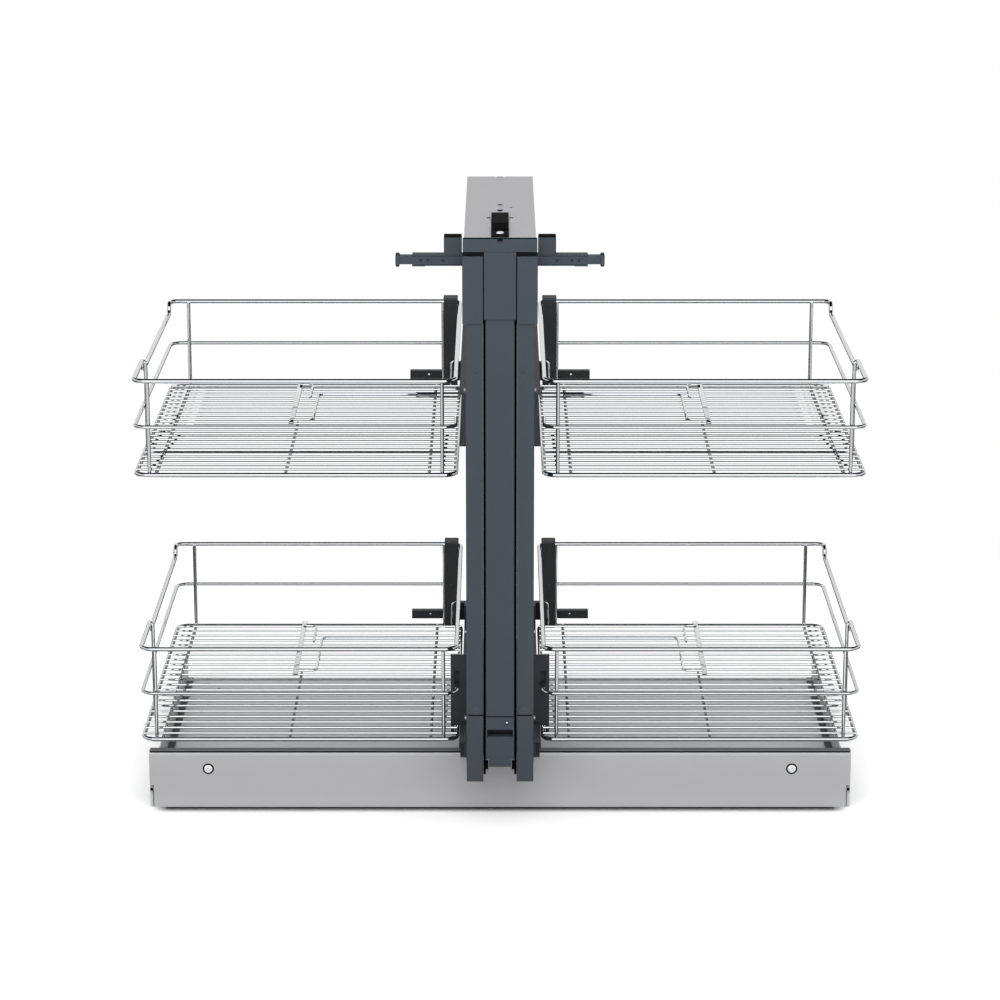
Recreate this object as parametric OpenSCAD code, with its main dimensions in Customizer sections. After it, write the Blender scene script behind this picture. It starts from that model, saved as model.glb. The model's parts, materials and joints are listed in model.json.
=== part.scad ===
/* [Base tray] */
// Width of the tray across the cabinet floor
tray_w = 832; // [700:1:1000]
// Depth of the tray from its front panel to its back edge
tray_d = 492; // [460:1:560]
// Thickness of the tray and panel sheet
sheet_t = 1.5; // [1:0.1:3]
// Height of the tray's two side walls
wall_h = 35; // [25:1:60]
// Height of the tray's front flange
flange_h = 24; // [15:1:40]
// Height of the front panel
panel_h = 70; // [60:1:71]
// Depth of the fold along the top of the front panel
panel_fold = 12; // [6:1:20]
// Radius of the bend at the top of the front panel
panel_bend_r = 5; // [2:0.5:6]
// Width of the notch at each lower corner of the front panel
panel_notch_w = 5; // [2:0.5:10]
// How far that notch reaches above the tray's flange
panel_notch_over = 3; // [0.5:0.5:6]
// Distance between the two panel screws
panel_screw_gap = 692; // [500:1:780]
// Height of the panel screws above the floor
panel_screw_z = 48; // [30:1:60]
// Width of the dark strips beside the side walls
strip_w = 8; // [4:0.5:12]
// Height of the dark strips
strip_h = 3; // [1:0.5:6]
// Diameter of the fixing holes in the tray floor
fix_hole_d = 5; // [4:0.5:8]
// Distance between the fixing holes across the tray
fix_hole_gap_x = 740; // [500:1:790]
// Distance between the fixing holes from front to back
fix_hole_gap_y = 400; // [250:1:430]

/* [Central supports] */
// Half width of the low cover over the middle of the tray
cover_half_w = 49; // [42:1:60]
// Height of the top of that cover
cover_top_z = 66; // [40:1:69]
// Half width of the lower beam that carries the lower runners
beam_half_w = 18.5; // [16:0.5:19]
// Height of the top of the lower beam
beam_top_z = 124; // [100:1:140]
// How far the two beams and the lower cover reach past the runners' rear ends
beam_over = 2; // [0.5:0.5:40]
// Half width of the upper channel
channel_half_w = 40.5; // [40:0.5:41]
// Height of the upper channel's sides
channel_h = 20; // [14:0.5:20]
// Height of the top of the upper channel
channel_top_z = 696; // [690:1:730]
// How far the upper channel reaches past the runners' rear ends
channel_over = 3; // [1:0.5:60]
// Diameter of the two fixing holes beside the strap
channel_hole_d = 4.5; // [3:0.5:6]
// Distance from the middle line to each of those holes
channel_hole_x = 13; // [12.5:0.5:25]
// Width of the strap on the upper channel
strap_w = 20; // [12:1:20]
// Length of the strap
strap_len = 146; // [100:1:200]
// Thickness of the strap
strap_t = 2.5; // [1.5:0.5:5]
// Diameter of the rounded rib across the strap
strap_rib_d = 16; // [8:1:20]
// Distance from the front of the channel to that rib
strap_rib_y = 48; // [30:1:100]
// Height of the front cap of the upper channel
cap_h = 15; // [10:1:18]
// Width of the front cap of the upper channel
cap_w = 84; // [60:1:84]

/* [Column] */
// How far the column's posts stand in front of the panel
post_reach = 50; // [46:1:80]
// Depth of every post
post_d = 22; // [14:1:24]
// Width of the middle post
mid_post_w = 33; // [24:1:34]
// Width of each side post
side_post_w = 19.6; // [14:0.2:19.6]
// Gap from the middle line to each side post
side_post_x = 19.5; // [19.5:0.1:20]
// Height of the lower end of the side posts
side_post_z = 50; // [20:1:70]
// Wall of the hollow posts
post_wall = 2; // [1.5:0.1:3]
// Radius of the posts' front edges
post_edge_r = 1.2; // [0.5:0.1:2]
// Height of the shadow line across the side posts
post_line_z = 131; // [100:1:200]
// Height of the lower end of the middle post
mid_post_z = 130; // [128:1:160]
// Length of the side sleeves
side_sleeve_h = 78; // [40:1:110]
// Distance from the top of the upper channel down to the side sleeves
side_sleeve_drop = 21; // [20.5:0.5:30]
// Length of the middle sleeve
mid_sleeve_h = 78; // [40:1:110]
// Distance from the sleeves down to the slots in the side posts
post_slot_drop = 57; // [20:1:100]
// Wall of the sleeves at the front and back
sleeve_wall = 1.8; // [1:0.1:2.5]
// Width of the middle sleeve
mid_sleeve_w = 36.6; // [36.4:0.1:37]
// Width of each side sleeve
side_sleeve_w = 23.4; // [22:0.1:24]
// Height of the foot bracket
foot_h = 62; // [50:1:90]
// Width of the window in the foot bracket
foot_window_w = 30; // [10:1:30]
// Height of the window in the foot bracket
foot_window_h = 9; // [3:0.5:12]
// Height of that window above the bracket's lower end
foot_window_z = 37; // [35:1:45]

/* [Runners] */
// Length of the pull-out runners
runner_len = 350; // [300:1:390]
// Height of the fixed runner channel
runner_h = 22; // [20:1:22]
// Width of the fixed runner channel
runner_w = 11; // [9:0.5:12]
// Sheet thickness of the runners
runner_t = 1.4; // [1:0.1:1.8]
// Running gap between the runner channels
runner_gap = 0.4; // [0.3:0.05:0.6]
// Depth of the front block on each upper runner
block_d = 10; // [8:0.5:25]
// Width of the front block
block_w = 20.4; // [20:0.1:26]
// Height of the front block
block_h = 21.5; // [18:0.5:26]
// Height of the middle of the lower runners
low_runner_z = 84; // [83:0.5:90]

/* [Cross slides] */
// Distance from the top of the upper channel down to the cross slides
cross_drop = 24; // [22:0.5:30]
// Height of each cross slide's outer rail
cross_h = 13; // [10:0.5:16]
// Depth of each cross slide's outer rail
cross_d = 15; // [10:0.5:16]
// Length of the outer rail beside the upper channel
cross_rail_len = 57; // [45:1:70]
// Length of the inner slider
cross_slider_len = 96; // [80:1:97]
// Thickness of the cap on the slider's end
cross_cap_t = 5; // [3:0.5:8]

/* [Side frames] */
// Height of the upper side rail
upper_rail_h = 63; // [40:1:75]
// Height of the lower side rail
lower_rail_h = 20; // [14:0.5:24]
// Height of the lower side rail above the floor
lower_rail_z = 72; // [71.5:0.5:76]
// Width of the side rails
rail_w = 7; // [5:0.5:8]
// Sheet thickness of the side rails
rail_t = 2; // [1.5:0.1:3]
// Height of the lower basket's front bracket
bracket_h = 100; // [70:1:104]
// Width of the flange on that bracket
bracket_flange_w = 12; // [8:0.5:16]
// Depth of the bracket's foot on the rail
bracket_foot_d = 30; // [15:1:60]
// Height of the bracket's side wall
bracket_wall_h = 60; // [20:1:90]
// Height of the slots in the bracket
bracket_slot_h = 18; // [8:0.5:25]
// Width of each rear hanger
hanger_w = 17.4; // [12:0.1:17.4]
// Depth of each rear hanger
hanger_d = 10; // [6:0.5:12]
// Length of each rear support arm
arm_len = 44; // [25:1:60]
// Height of each rear support arm
arm_h = 11; // [8:0.5:16]
// Depth of each rear support arm
arm_d = 9; // [6:0.5:12]

/* [Baskets] */
// Distance from the middle line to the outside of a basket
basket_outer_x = 425; // [360:1:460]
// Distance from the middle line to the inner side of a basket
basket_inner_x = 48.5; // [48:0.1:52]
// Distance between a basket's front and rear wires
basket_d = 456; // [400:1:456]
// Distance between a basket's bottom and top wires
basket_h = 111.5; // [80:0.5:160]
// Height of the lower basket's bottom wire
lower_basket_z = 85; // [83:0.5:100]
// Distance from the lower basket up to the upper basket
basket_pitch = 323; // [250:1:340]
// Height of the middle rail above the bottom wire
mid_rail_z = 57; // [30:0.5:75]
// How far the outer side of the top wire is set down
side_drop = 12; // [6:0.5:20]
// Diameter of the top and bottom wires
rim_wire_d = 5.4; // [4:0.1:7]
// Diameter of the middle rail and the uprights
rail_wire_d = 4.4; // [3:0.1:6]
// Diameter of the floor wires
floor_wire_d = 3; // [2:0.1:4]
// Distance between the floor wires
floor_pitch = 20.4; // [15:0.1:40]
// Radius of the basket's corners
corner_r = 14; // [8:1:25]
// Width of the flat strip on the basket floor
floor_strip_w = 8; // [4:0.5:14]

/* [Hidden] */
$fn = 32;

// Small overlap that welds the pieces of one part together
weld = 0.4;
// Gap between parts that only stand beside each other
fit = 0.3;
// Wall of the two beams
beam_wall = 2;
// Dimple under each panel screw
dimple_d = 13.5;
dimple_t = 0.7;
// Clearance of a screw in its hole
screw_fit = 0.3;

// The sleeves stand this far in front of the posts
sleeve_proud = 2;
// Front and back of the whole unit, with the origin midway between them
front_y = -(post_reach + sleeve_proud + tray_d) / 2;
panel_y = front_y + post_reach + sleeve_proud;
back_y = panel_y + tray_d;
post_y = panel_y - post_reach;
post_back_y = post_y + post_d;
sleeve_back_y = post_back_y + sleeve_proud;

// The runners start just behind the fold of the front panel
runner_y = panel_y + panel_fold;

// Upper channel, its cap and what stands under them
channel_front_y = post_y + 2;
channel_back_y = runner_y + runner_len + channel_over;
channel_side_z = channel_top_z - channel_h;
cap_z = channel_top_z - 1 - cap_h;
strap_end_y = channel_front_y + strap_len;
mid_sleeve_top = cap_z;
mid_sleeve_z = mid_sleeve_top - mid_sleeve_h;
side_sleeve_top = channel_top_z - side_sleeve_drop;
side_sleeve_z = side_sleeve_top - side_sleeve_h;
// The posts reach this far into their sleeves
sleeve_hold = 60;
mid_post_top = mid_sleeve_z + sleeve_hold;
side_post_top = side_sleeve_z + sleeve_hold;
foot_z = mid_post_z - foot_h;
cover_y = panel_y + 2 * sheet_t + fit;
beam_y = panel_y + panel_fold + fit;
beam_back_y = runner_y + runner_len + beam_over;

// Runner places, measured to the right of the middle line, from the beams' sides
runner_x = beam_half_w;
middle_h = runner_h - 2 * (runner_t + runner_gap);
inner_h = middle_h - 2 * (runner_t + runner_gap);
middle_x = runner_t + 1.5;
inner_x = middle_x + runner_t + 1.5;
inner_w = 13.5;
block_x = channel_half_w + 2.6;
block_z = channel_top_z - cross_drop;

// Cross slides hang under the front blocks
cross_x = beam_half_w + 3.5;
cross_y = sleeve_back_y + 0.6;
cross_z = block_z - cross_h;
upper_runner_z = cross_z + cross_h / 2;
cross_t = 1.6;
slider_h = cross_h - 2 * (cross_t + fit);
slider_d = cross_d - cross_t - 2 * fit;
slider_x = side_post_x + 3;
slider_end_x = slider_x + cross_slider_len - cross_cap_t;
block_y = cross_y;

// Side frames
rail_x = side_post_x + side_post_w + 0.6;
rail_y = post_back_y;
rail_tab_t = 1.8;
basket_front_y = panel_y;
basket_rear_y = basket_front_y + basket_d;
rail_len = basket_rear_y - 8 - rail_y;
upper_rail_z = lower_basket_z + basket_pitch + 41;
bracket_z = lower_rail_z + 5;
bracket_y = panel_y + 40;
hanger_x = basket_inner_x + rim_wire_d + 0.5;
hanger_y = basket_rear_y - rim_wire_d / 2 - 1 - hanger_d;
hanger_fold = 4;
arm_base = 6;
arm_rise = 2;
arm_block_h = 24;
arm_y = basket_rear_y + rim_wire_d / 2 + 1;

// Baskets: wire centre lines
rim_r = rim_wire_d / 2;
basket_x0 = basket_inner_x + rim_r;
basket_x1 = basket_outer_x - rim_r;
upper_basket_z = lower_basket_z + basket_pitch;
floor_lift = rim_r + floor_wire_d / 2 + 0.05;
floor_first = 9.9;
floor_count = floor((basket_d - 2 * floor_first) / floor_pitch) + 1;
// Uprights and under wires, as distances from the basket's sides
front_upright_in = 16;
rear_upright_in = 22;
rear_inner_upright_in = 23.4;
inner_upright_in = 17;
side_upright_y = 112;
side_upright_in = 9;
under_wire_in = 31;
centre_wire_x = (basket_x0 + basket_x1) / 2 + 12;
under_wire_d = 4;
// The flat strip and the bent wire on the floor, from the middle under wire and the rear wires
floor_strip_x = 8;
floor_strip_y = 270;
floor_strip_t = 2;
loop_in = 19;
loop_rear_in = 28;

// A round wire along X, Y or Z
module wire_x(x0, x1, y, z, d) {
    translate([x0, y, z]) rotate([0, 90, 0]) cylinder(h = x1 - x0, d = d);
}

module wire_y(y0, y1, x, z, d) {
    translate([x, y0, z]) rotate([-90, 0, 0]) cylinder(h = y1 - y0, d = d);
}

module wire_z(z0, z1, x, y, d) {
    translate([x, y, z0]) cylinder(h = z1 - z0, d = d);
}

// A quarter bend in the XY plane round (x, y), which starts at the angle given
module bend_xy(x, y, z, start, r, d, turn = 90) {
    translate([x, y, z]) rotate([0, 0, start]) rotate_extrude(angle = turn) translate([r, 0]) circle(d = d);
}

// A wire that steps straight down by drop, with a ball at each bend
module step_down(x, y, z, drop, d) {
    for (level = [z, z - drop]) translate([x, y, level]) sphere(d = d + 0.2);
    wire_z(z - drop, z, x, y, d);
}

// A C channel that runs along +Y, open towards +X
module channel_y(w, h, len, t) {
    difference() {
        cube([w, len, h]);
        translate([t, -1, t]) cube([w, len + 2, h - 2 * t]);
    }
}

// A hollow post with rounded upright edges
module hollow_post(w, d, h, wall, r) {
    linear_extrude(h) difference() {
        rounded_rect(w, d, r);
        translate([wall, wall]) square([w - 2 * wall, d - 2 * wall]);
    }
}

// A rectangle with round corners made of exact arcs
module rounded_rect(w, d, r) {
    union() {
        translate([r, 0]) square([w - 2 * r, d]);
        translate([0, r]) square([w, d - 2 * r]);
        for (x = [r, w - r], y = [r, d - r]) translate([x, y]) circle(r = r);
    }
}

// A pan head screw that points along +Y, with its cross recess
module pan_screw_y(head_d, head_h, shank_d, shank_len) {
    rotate([-90, 0, 0]) difference() {
        union() {
            translate([0, 0, -head_h]) cylinder(h = head_h, d1 = head_d * 0.72, d2 = head_d);
            cylinder(h = shank_len, d = shank_d);
        }
        for (turn = [0, 90]) rotate([0, 0, turn])
            translate([-head_d * 0.25, -0.5, -head_h - 0.1]) cube([head_d * 0.5, 1, 1.1]);
    }
}

// Side assemblies are drawn on the right and mirrored to the left
module on_side(side) {
    if (side == "left") mirror([1, 0, 0]) children();
    else children();
}

/* Base tray */

module base_pan() {
    half = tray_w / 2;
    color("#a9a9ab") difference() {
        union() {
            translate([-half, panel_y + sheet_t, 0]) cube([tray_w, tray_d - sheet_t, sheet_t]);
            translate([-half, panel_y + sheet_t, 0]) cube([tray_w, sheet_t, flange_h]);
            for (x = [-half, half - sheet_t])
                translate([x, panel_y + sheet_t, 0]) cube([sheet_t, tray_d - sheet_t, wall_h]);
            for (x = [-1, 1]) translate([x * panel_screw_gap / 2 - 12, panel_y + sheet_t, 0])
                cube([24, sheet_t, panel_screw_z + 12]);
        }
        for (x = [-1, 1], y = [-1, 1])
            translate([x * fix_hole_gap_x / 2, panel_y + tray_d / 2 + y * fix_hole_gap_y / 2, -1])
                cylinder(h = sheet_t + 2, d = fix_hole_d);
        for (x = [-1, 1]) translate([x * panel_screw_gap / 2, panel_y, panel_screw_z])
            rotate([-90, 0, 0]) cylinder(h = 6, d = 4 + screw_fit);
    }
}

module front_panel() {
    half = tray_w / 2;
    color("#b0b0b2") difference() {
        union() {
            translate([-half, panel_y, 0]) cube([tray_w, sheet_t, panel_h - panel_bend_r]);
            translate([-half, panel_y + panel_bend_r, panel_h - panel_bend_r]) rotate([0, 90, 0])
                difference() {
                    cylinder(h = tray_w, r = panel_bend_r);
                    translate([0, 0, -1]) cylinder(h = tray_w + 2, r = panel_bend_r - sheet_t);
                    translate([0, -panel_bend_r - 1, -1])
                        cube([panel_bend_r + 1, 2 * panel_bend_r + 2, tray_w + 2]);
                    translate([-panel_bend_r - 1, 0, -1])
                        cube([2 * panel_bend_r + 2, panel_bend_r + 1, tray_w + 2]);
                }
            translate([-half, panel_y + panel_bend_r, panel_h - sheet_t])
                cube([tray_w, panel_fold - panel_bend_r, sheet_t]);
        }
        for (x = [-half - 1, half - panel_notch_w])
            translate([x, panel_y - 1, -1])
                cube([panel_notch_w + 1, sheet_t + 2, flange_h + panel_notch_over + 1]);
        for (x = [-1, 1]) translate([x * panel_screw_gap / 2, panel_y, panel_screw_z]) rotate([-90, 0, 0]) {
            translate([0, 0, -1]) cylinder(h = 6, d = 4 + screw_fit);
            translate([0, 0, -0.01]) cylinder(h = dimple_t + 0.01, d1 = dimple_d, d2 = dimple_d - 3);
        }
    }
}

module panel_screws() {
    color("#d6d6d8")
        for (x = [-1, 1]) translate([x * panel_screw_gap / 2, panel_y + dimple_t, panel_screw_z])
            pan_screw_y(10, 2.6, 4, 8);
}

module edge_strips() {
    inner = tray_w / 2 - sheet_t - strip_w;
    color("#232528")
        for (x = [-inner - strip_w, inner])
            translate([x, panel_y + 8, sheet_t]) cube([strip_w, tray_d - 16, strip_h]);
}

/* Central supports */

module lower_cover() {
    wall = 2;
    len = beam_back_y - cover_y;
    color("#1d1f22") difference() {
        translate([-cover_half_w, cover_y, sheet_t])
            cube([2 * cover_half_w, len, cover_top_z - sheet_t]);
        translate([-cover_half_w + wall, cover_y + wall, sheet_t - 1])
            cube([2 * (cover_half_w - wall), len - 2 * wall, cover_top_z - sheet_t + 1 - wall]);
    }
}

// A closed fronted box beam round the middle line, open at the back
module beam(y0, y1, z0, z1) {
    color("#3a4046") difference() {
        translate([-beam_half_w, y0, z0]) cube([2 * beam_half_w, y1 - y0, z1 - z0]);
        translate([-beam_half_w + beam_wall, y0 + beam_wall, z0 + beam_wall])
            cube([2 * (beam_half_w - beam_wall), y1 - y0, z1 - z0 - 2 * beam_wall]);
    }
}

module lower_beam() {
    beam(beam_y, beam_back_y, cover_top_z, beam_top_z);
}

// The upper beam hangs in the channel and carries the upper runners
module upper_beam() {
    beam(sleeve_back_y + fit, beam_back_y, upper_runner_z - runner_h / 2, channel_top_z - sheet_t);
}

module upper_channel() {
    keyhole_y = strap_end_y + 28;
    tab_w = 11;
    color("#b6b3b4") difference() {
        translate([-channel_half_w, channel_front_y, channel_side_z])
            cube([2 * channel_half_w, channel_back_y - channel_front_y, channel_h]);
        translate([-channel_half_w + sheet_t, channel_front_y - 1, channel_side_z - 1])
            cube([2 * (channel_half_w - sheet_t), channel_back_y - channel_front_y + 2,
                channel_h + 1 - sheet_t]);
        translate([0, 0, channel_top_z - sheet_t - 1]) {
            translate([0, strap_end_y + 65, 0]) cylinder(h = sheet_t + 2, d = 6);
            translate([0, keyhole_y, 0]) cylinder(h = sheet_t + 2, d = 7);
            translate([0, keyhole_y - 6, 0]) cylinder(h = sheet_t + 2, d = 3.6);
            translate([-1.8, keyhole_y - 6, 0]) cube([3.6, 6, sheet_t + 2]);
            translate([channel_hole_x, strap_end_y + 46, 0]) cylinder(h = sheet_t + 2, d = 3);
            for (x = [-1, 1]) translate([x * channel_hole_x, strap_end_y - 22, 0])
                cylinder(h = sheet_t + 2, d = channel_hole_d);
            translate([-tab_w / 2, channel_back_y - 5, 0]) cube([tab_w, 6, sheet_t + 2]);
        }
    }
}

module channel_cap() {
    cap_d = channel_front_y - post_y;
    color("#43494f") difference() {
        translate([-cap_w / 2, post_y - sleeve_proud, cap_z]) cube([cap_w, cap_d + sleeve_proud, cap_h]);
        translate([-3, post_y - sleeve_proud - 1, cap_z + cap_h - 3]) cube([6, 2, 4]);
    }
}

module channel_strap() {
    strap_y = channel_front_y;
    rib_y = strap_y + strap_rib_y;
    color("#33383d") difference() {
        union() {
            translate([-strap_w / 2, strap_y, channel_top_z]) cube([strap_w, strap_len, strap_t]);
            translate([-strap_w / 2, rib_y, channel_top_z]) rotate([0, 90, 0]) difference() {
                cylinder(h = strap_w, d = strap_rib_d);
                translate([0, -strap_rib_d, -1]) cube([strap_rib_d, 2 * strap_rib_d, strap_w + 2]);
            }
        }
        translate([0, strap_y + 12, channel_top_z - 1]) cylinder(h = strap_t + 2, d = 4 + screw_fit);
    }
}

module strap_screw() {
    color("#dededf") translate([0, channel_front_y + 12, channel_top_z + strap_t])
        rotate([-90, 0, 0]) pan_screw_y(8.4, 2, 4, strap_t - 0.1);
}

/* Column */

module middle_post() {
    color("#474d54") translate([-mid_post_w / 2, post_y, mid_post_z])
        hollow_post(mid_post_w, post_d, mid_post_top - mid_post_z, post_wall, post_edge_r);
}

module middle_sleeve() {
    inner_w = mid_post_w + 2 * 0.15;
    color("#454b52") translate([-mid_sleeve_w / 2, post_y - sleeve_proud, mid_sleeve_z]) difference() {
        cube([mid_sleeve_w, post_d + 2 * sleeve_proud, mid_sleeve_top - mid_sleeve_z]);
        translate([(mid_sleeve_w - inner_w) / 2, sleeve_wall, -1])
            cube([inner_w, post_d + 2 * sleeve_proud - 2 * sleeve_wall, mid_sleeve_top - mid_sleeve_z - 3]);
    }
}

module foot_bracket() {
    reach = beam_y - post_back_y;
    color("#474d54") difference() {
        union() {
            translate([-mid_post_w / 2, post_y, foot_z]) cube([mid_post_w, post_d, foot_h]);
            translate([-mid_post_w / 2, post_back_y - weld, foot_z + 34])
                cube([mid_post_w, reach + weld, foot_h - 34 - 7]);
        }
        translate([-foot_window_w / 2, post_y - 1, foot_z + foot_window_z])
            cube([foot_window_w, post_d - 4, foot_window_h]);
        for (x = [-mid_post_w / 2 - 1, mid_post_w / 2 - 3.2])
            translate([x, post_y - 1, foot_z - 1]) cube([4.2, post_d + 2, 10.5]);
        translate([-mid_post_w / 2 + post_wall, post_y + 4, foot_z - 1])
            cube([mid_post_w - 2 * post_wall, post_d - 8, 30]);
        translate([8, post_y - 1, foot_z + 55]) rotate([-90, 0, 0]) cylinder(h = 8, d = 3);
    }
}

module foot_screw() {
    color("#2a2d30") translate([8, post_y, foot_z + 55]) rotate([-90, 0, 0]) {
        translate([0, 0, -0.8]) cylinder(h = 0.8, d = 4.6);
        cylinder(h = 5, d = 2.8);
    }
}

module side_post(side) {
    on_side(side) color("#4a5057") difference() {
        translate([side_post_x, post_y, side_post_z])
            hollow_post(side_post_w, post_d, side_post_top - side_post_z, post_wall, post_edge_r);
        translate([side_post_x + 2.5, post_y - 1, post_line_z]) cube([side_post_w, 1.6, 1.5]);
        translate([side_post_x + 4.5, post_y - 1, side_sleeve_z - post_slot_drop]) cube([4, 1.6, 1.6]);
    }
}

module side_sleeve(side) {
    x0 = side_post_x - fit;
    pocket = side_post_w + 2 * fit;
    h = side_sleeve_top - side_sleeve_z;
    on_side(side) color("#454b52") translate([x0, post_y - sleeve_proud, side_sleeve_z]) difference() {
        cube([side_sleeve_w, post_d + 2 * sleeve_proud, h]);
        translate([-1, sleeve_wall, -1])
            cube([pocket + 1, post_d + 2 * sleeve_proud - 2 * sleeve_wall, h - 2]);
    }
}

/* Runners */

module fixed_runner(z) {
    translate([runner_x, runner_y, z - runner_h / 2]) channel_y(runner_w, runner_h, runner_len, runner_t);
}

module upper_fixed_runners() {
    color("#8e9194") for (side = ["left", "right"]) on_side(side) fixed_runner(upper_runner_z);
}

module lower_fixed_runners() {
    color("#8e9194") for (side = ["left", "right"]) on_side(side) fixed_runner(low_runner_z);
}

module middle_runner(side, z) {
    on_side(side) color("#9a9da0") translate([runner_x + middle_x, runner_y, z - middle_h / 2])
        channel_y(runner_w, middle_h, runner_len, runner_t);
}

// The inner runner is a C channel that opens towards the middle line
module inner_runner(side, z, front_y) {
    len = runner_y + runner_len - front_y;
    on_side(side) color("#a4a7aa") translate([runner_x + inner_x + inner_w, front_y, z - inner_h / 2])
        mirror([1, 0, 0]) channel_y(inner_w, inner_h, len, runner_t);
}

module upper_runner(side) {
    inner_runner(side, upper_runner_z, cross_y + cross_d);
}

module lower_runner(side) {
    inner_runner(side, low_runner_z, rail_y + rail_tab_t + fit);
}

module runner_block(side) {
    on_side(side) color("#33383d") translate([block_x, block_y, block_z]) union() {
        cube([block_w, block_d, block_h - 1]);
        translate([1, 1, block_h - 1 - weld]) cube([block_w - 2, block_d - 2, 1 + weld]);
    }
}

/* Cross slides */

// The outer rail is a C channel along X, open towards the posts
module cross_rail(side) {
    lip_len = 15;
    rail_end = channel_half_w + 2 + cross_rail_len;
    on_side(side) color("#3c4248") translate([cross_x, cross_y, cross_z]) difference() {
        union() {
            cube([rail_end - cross_x, cross_d, cross_h]);
            translate([rail_end - cross_x - lip_len, 2, -1]) cube([lip_len, cross_d - 4, 1 + weld]);
        }
        translate([-1, -1, cross_t])
            cube([rail_end - cross_x + 2, cross_d + 1 - cross_t, cross_h - 2 * cross_t]);
    }
}

// The inner slider is screwed to the side sleeve and runs in the outer rail
module cross_slider(side) {
    rivet_d = 3.4;
    z0 = cross_z + cross_t + fit;
    on_side(side) color("#33383d") difference() {
        union() {
            translate([slider_x, cross_y, z0]) cube([slider_end_x - slider_x, slider_d, slider_h]);
            translate([slider_x, sleeve_back_y, z0]) cube([12, cross_y - sleeve_back_y + weld, slider_h]);
        }
        for (x = [slider_end_x - 24, slider_end_x - 32, slider_end_x - 49])
            translate([x, cross_y - 1, z0 + slider_h / 2]) rotate([-90, 0, 0]) cylinder(h = 3, d = rivet_d);
    }
}

module slider_cap(side) {
    on_side(side) color("#2b2f33")
        translate([slider_end_x, cross_y - 0.5, cross_z - 1.5])
            cube([cross_cap_t, cross_d + 1, cross_h + 3]);
}

/* Side frames */

module side_rail(side, z, h) {
    tab = 14;
    on_side(side) color("#2b2f34") union() {
        translate([rail_x, rail_y, z]) channel_y(rail_w, h, rail_len, rail_t);
        translate([rail_x - tab, rail_y, z]) cube([tab + weld, rail_tab_t, h]);
    }
}

// A folded plate on the lower rail, with slots for two of the basket's wires
module front_bracket(side) {
    slot_w = 6.5;
    base_z = lower_rail_z + lower_rail_h;
    on_side(side) color("#3a4046") difference() {
        union() {
            translate([rail_x, bracket_y, base_z])
                cube([rail_w + bracket_flange_w, rail_t, bracket_z + bracket_h - base_z]);
            translate([rail_x + rail_w + 0.5, bracket_y, bracket_z])
                cube([bracket_flange_w - 0.5, rail_t, base_z - bracket_z + weld]);
            translate([rail_x, bracket_y, base_z]) cube([rail_t, bracket_foot_d, bracket_wall_h]);
            translate([rail_x, bracket_y, base_z]) cube([rail_w, bracket_foot_d, rail_t]);
        }
        translate([basket_x0 - slot_w / 2, bracket_y - 1, lower_basket_z + mid_rail_z - slot_w / 2])
            cube([slot_w, rail_t + 2, bracket_slot_h]);
        translate([basket_x0 - slot_w / 2, bracket_y - 1, bracket_z - 1])
            cube([slot_w, rail_t + 2, lower_basket_z + rim_r + 2 - bracket_z]);
    }
}

// A rear hanger stands in the basket's inner corner and folds over the rear wires
module hanger(side, z) {
    fold_z = z + basket_h + rim_r + fit;
    top = fold_z + hanger_fold;
    foot = z + 1;
    on_side(side) color("#2f3439") union() {
        difference() {
            translate([hanger_x, hanger_y, foot]) cube([hanger_w, hanger_d, top - foot]);
            translate([hanger_x + 2, hanger_y + 2, foot - 1]) cube([hanger_w - 4, hanger_d, top - foot - 3]);
            for (level = [z, z + basket_h])
                translate([hanger_x - 1, basket_rear_y - corner_r + rim_r - 2 * fit, level - rim_r - fit])
                    cube([basket_x0 + corner_r - hanger_x + 1, corner_r, 2 * (rim_r + fit)]);
        }
        translate([hanger_x, hanger_y + hanger_d - weld, fold_z])
            cube([hanger_w, arm_y + 2 - hanger_y - hanger_d + weld, hanger_fold]);
        translate([hanger_x, arm_y, z + arm_base]) cube([hanger_w, 2, fold_z - z - arm_base + weld]);
    }
}

// A cross block joins each side rail to its hanger, and an arm runs on behind the basket
module support_arm(z, rail_z) {
    y0 = arm_y + 2;
    link_z0 = min(z + arm_base, rail_z);
    link_z1 = max(z + arm_base + arm_block_h, rail_z + 20);
    difference() {
        union() {
            translate([rail_x, y0, z + arm_base]) cube([hanger_x + hanger_w - rail_x, arm_d, arm_block_h]);
            translate([hanger_x + hanger_w - weld, y0, z + arm_base + arm_rise])
                cube([arm_len + weld, arm_d, arm_h]);
            translate([rail_x, rail_y + rail_len, link_z0])
                cube([rail_w, y0 + arm_d - rail_y - rail_len, link_z1 - link_z0]);
        }
        translate([hanger_x + hanger_w + arm_len * 0.45, y0 - 1, z + arm_base + arm_rise + arm_h / 2])
            rotate([-90, 0, 0]) cylinder(h = arm_d + 2, d = 3.4);
    }
}

module support_arms(side) {
    on_side(side) color("#33383d") {
        support_arm(lower_basket_z, lower_rail_z);
        support_arm(upper_basket_z, upper_rail_z);
    }
}

/* Baskets */

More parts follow.
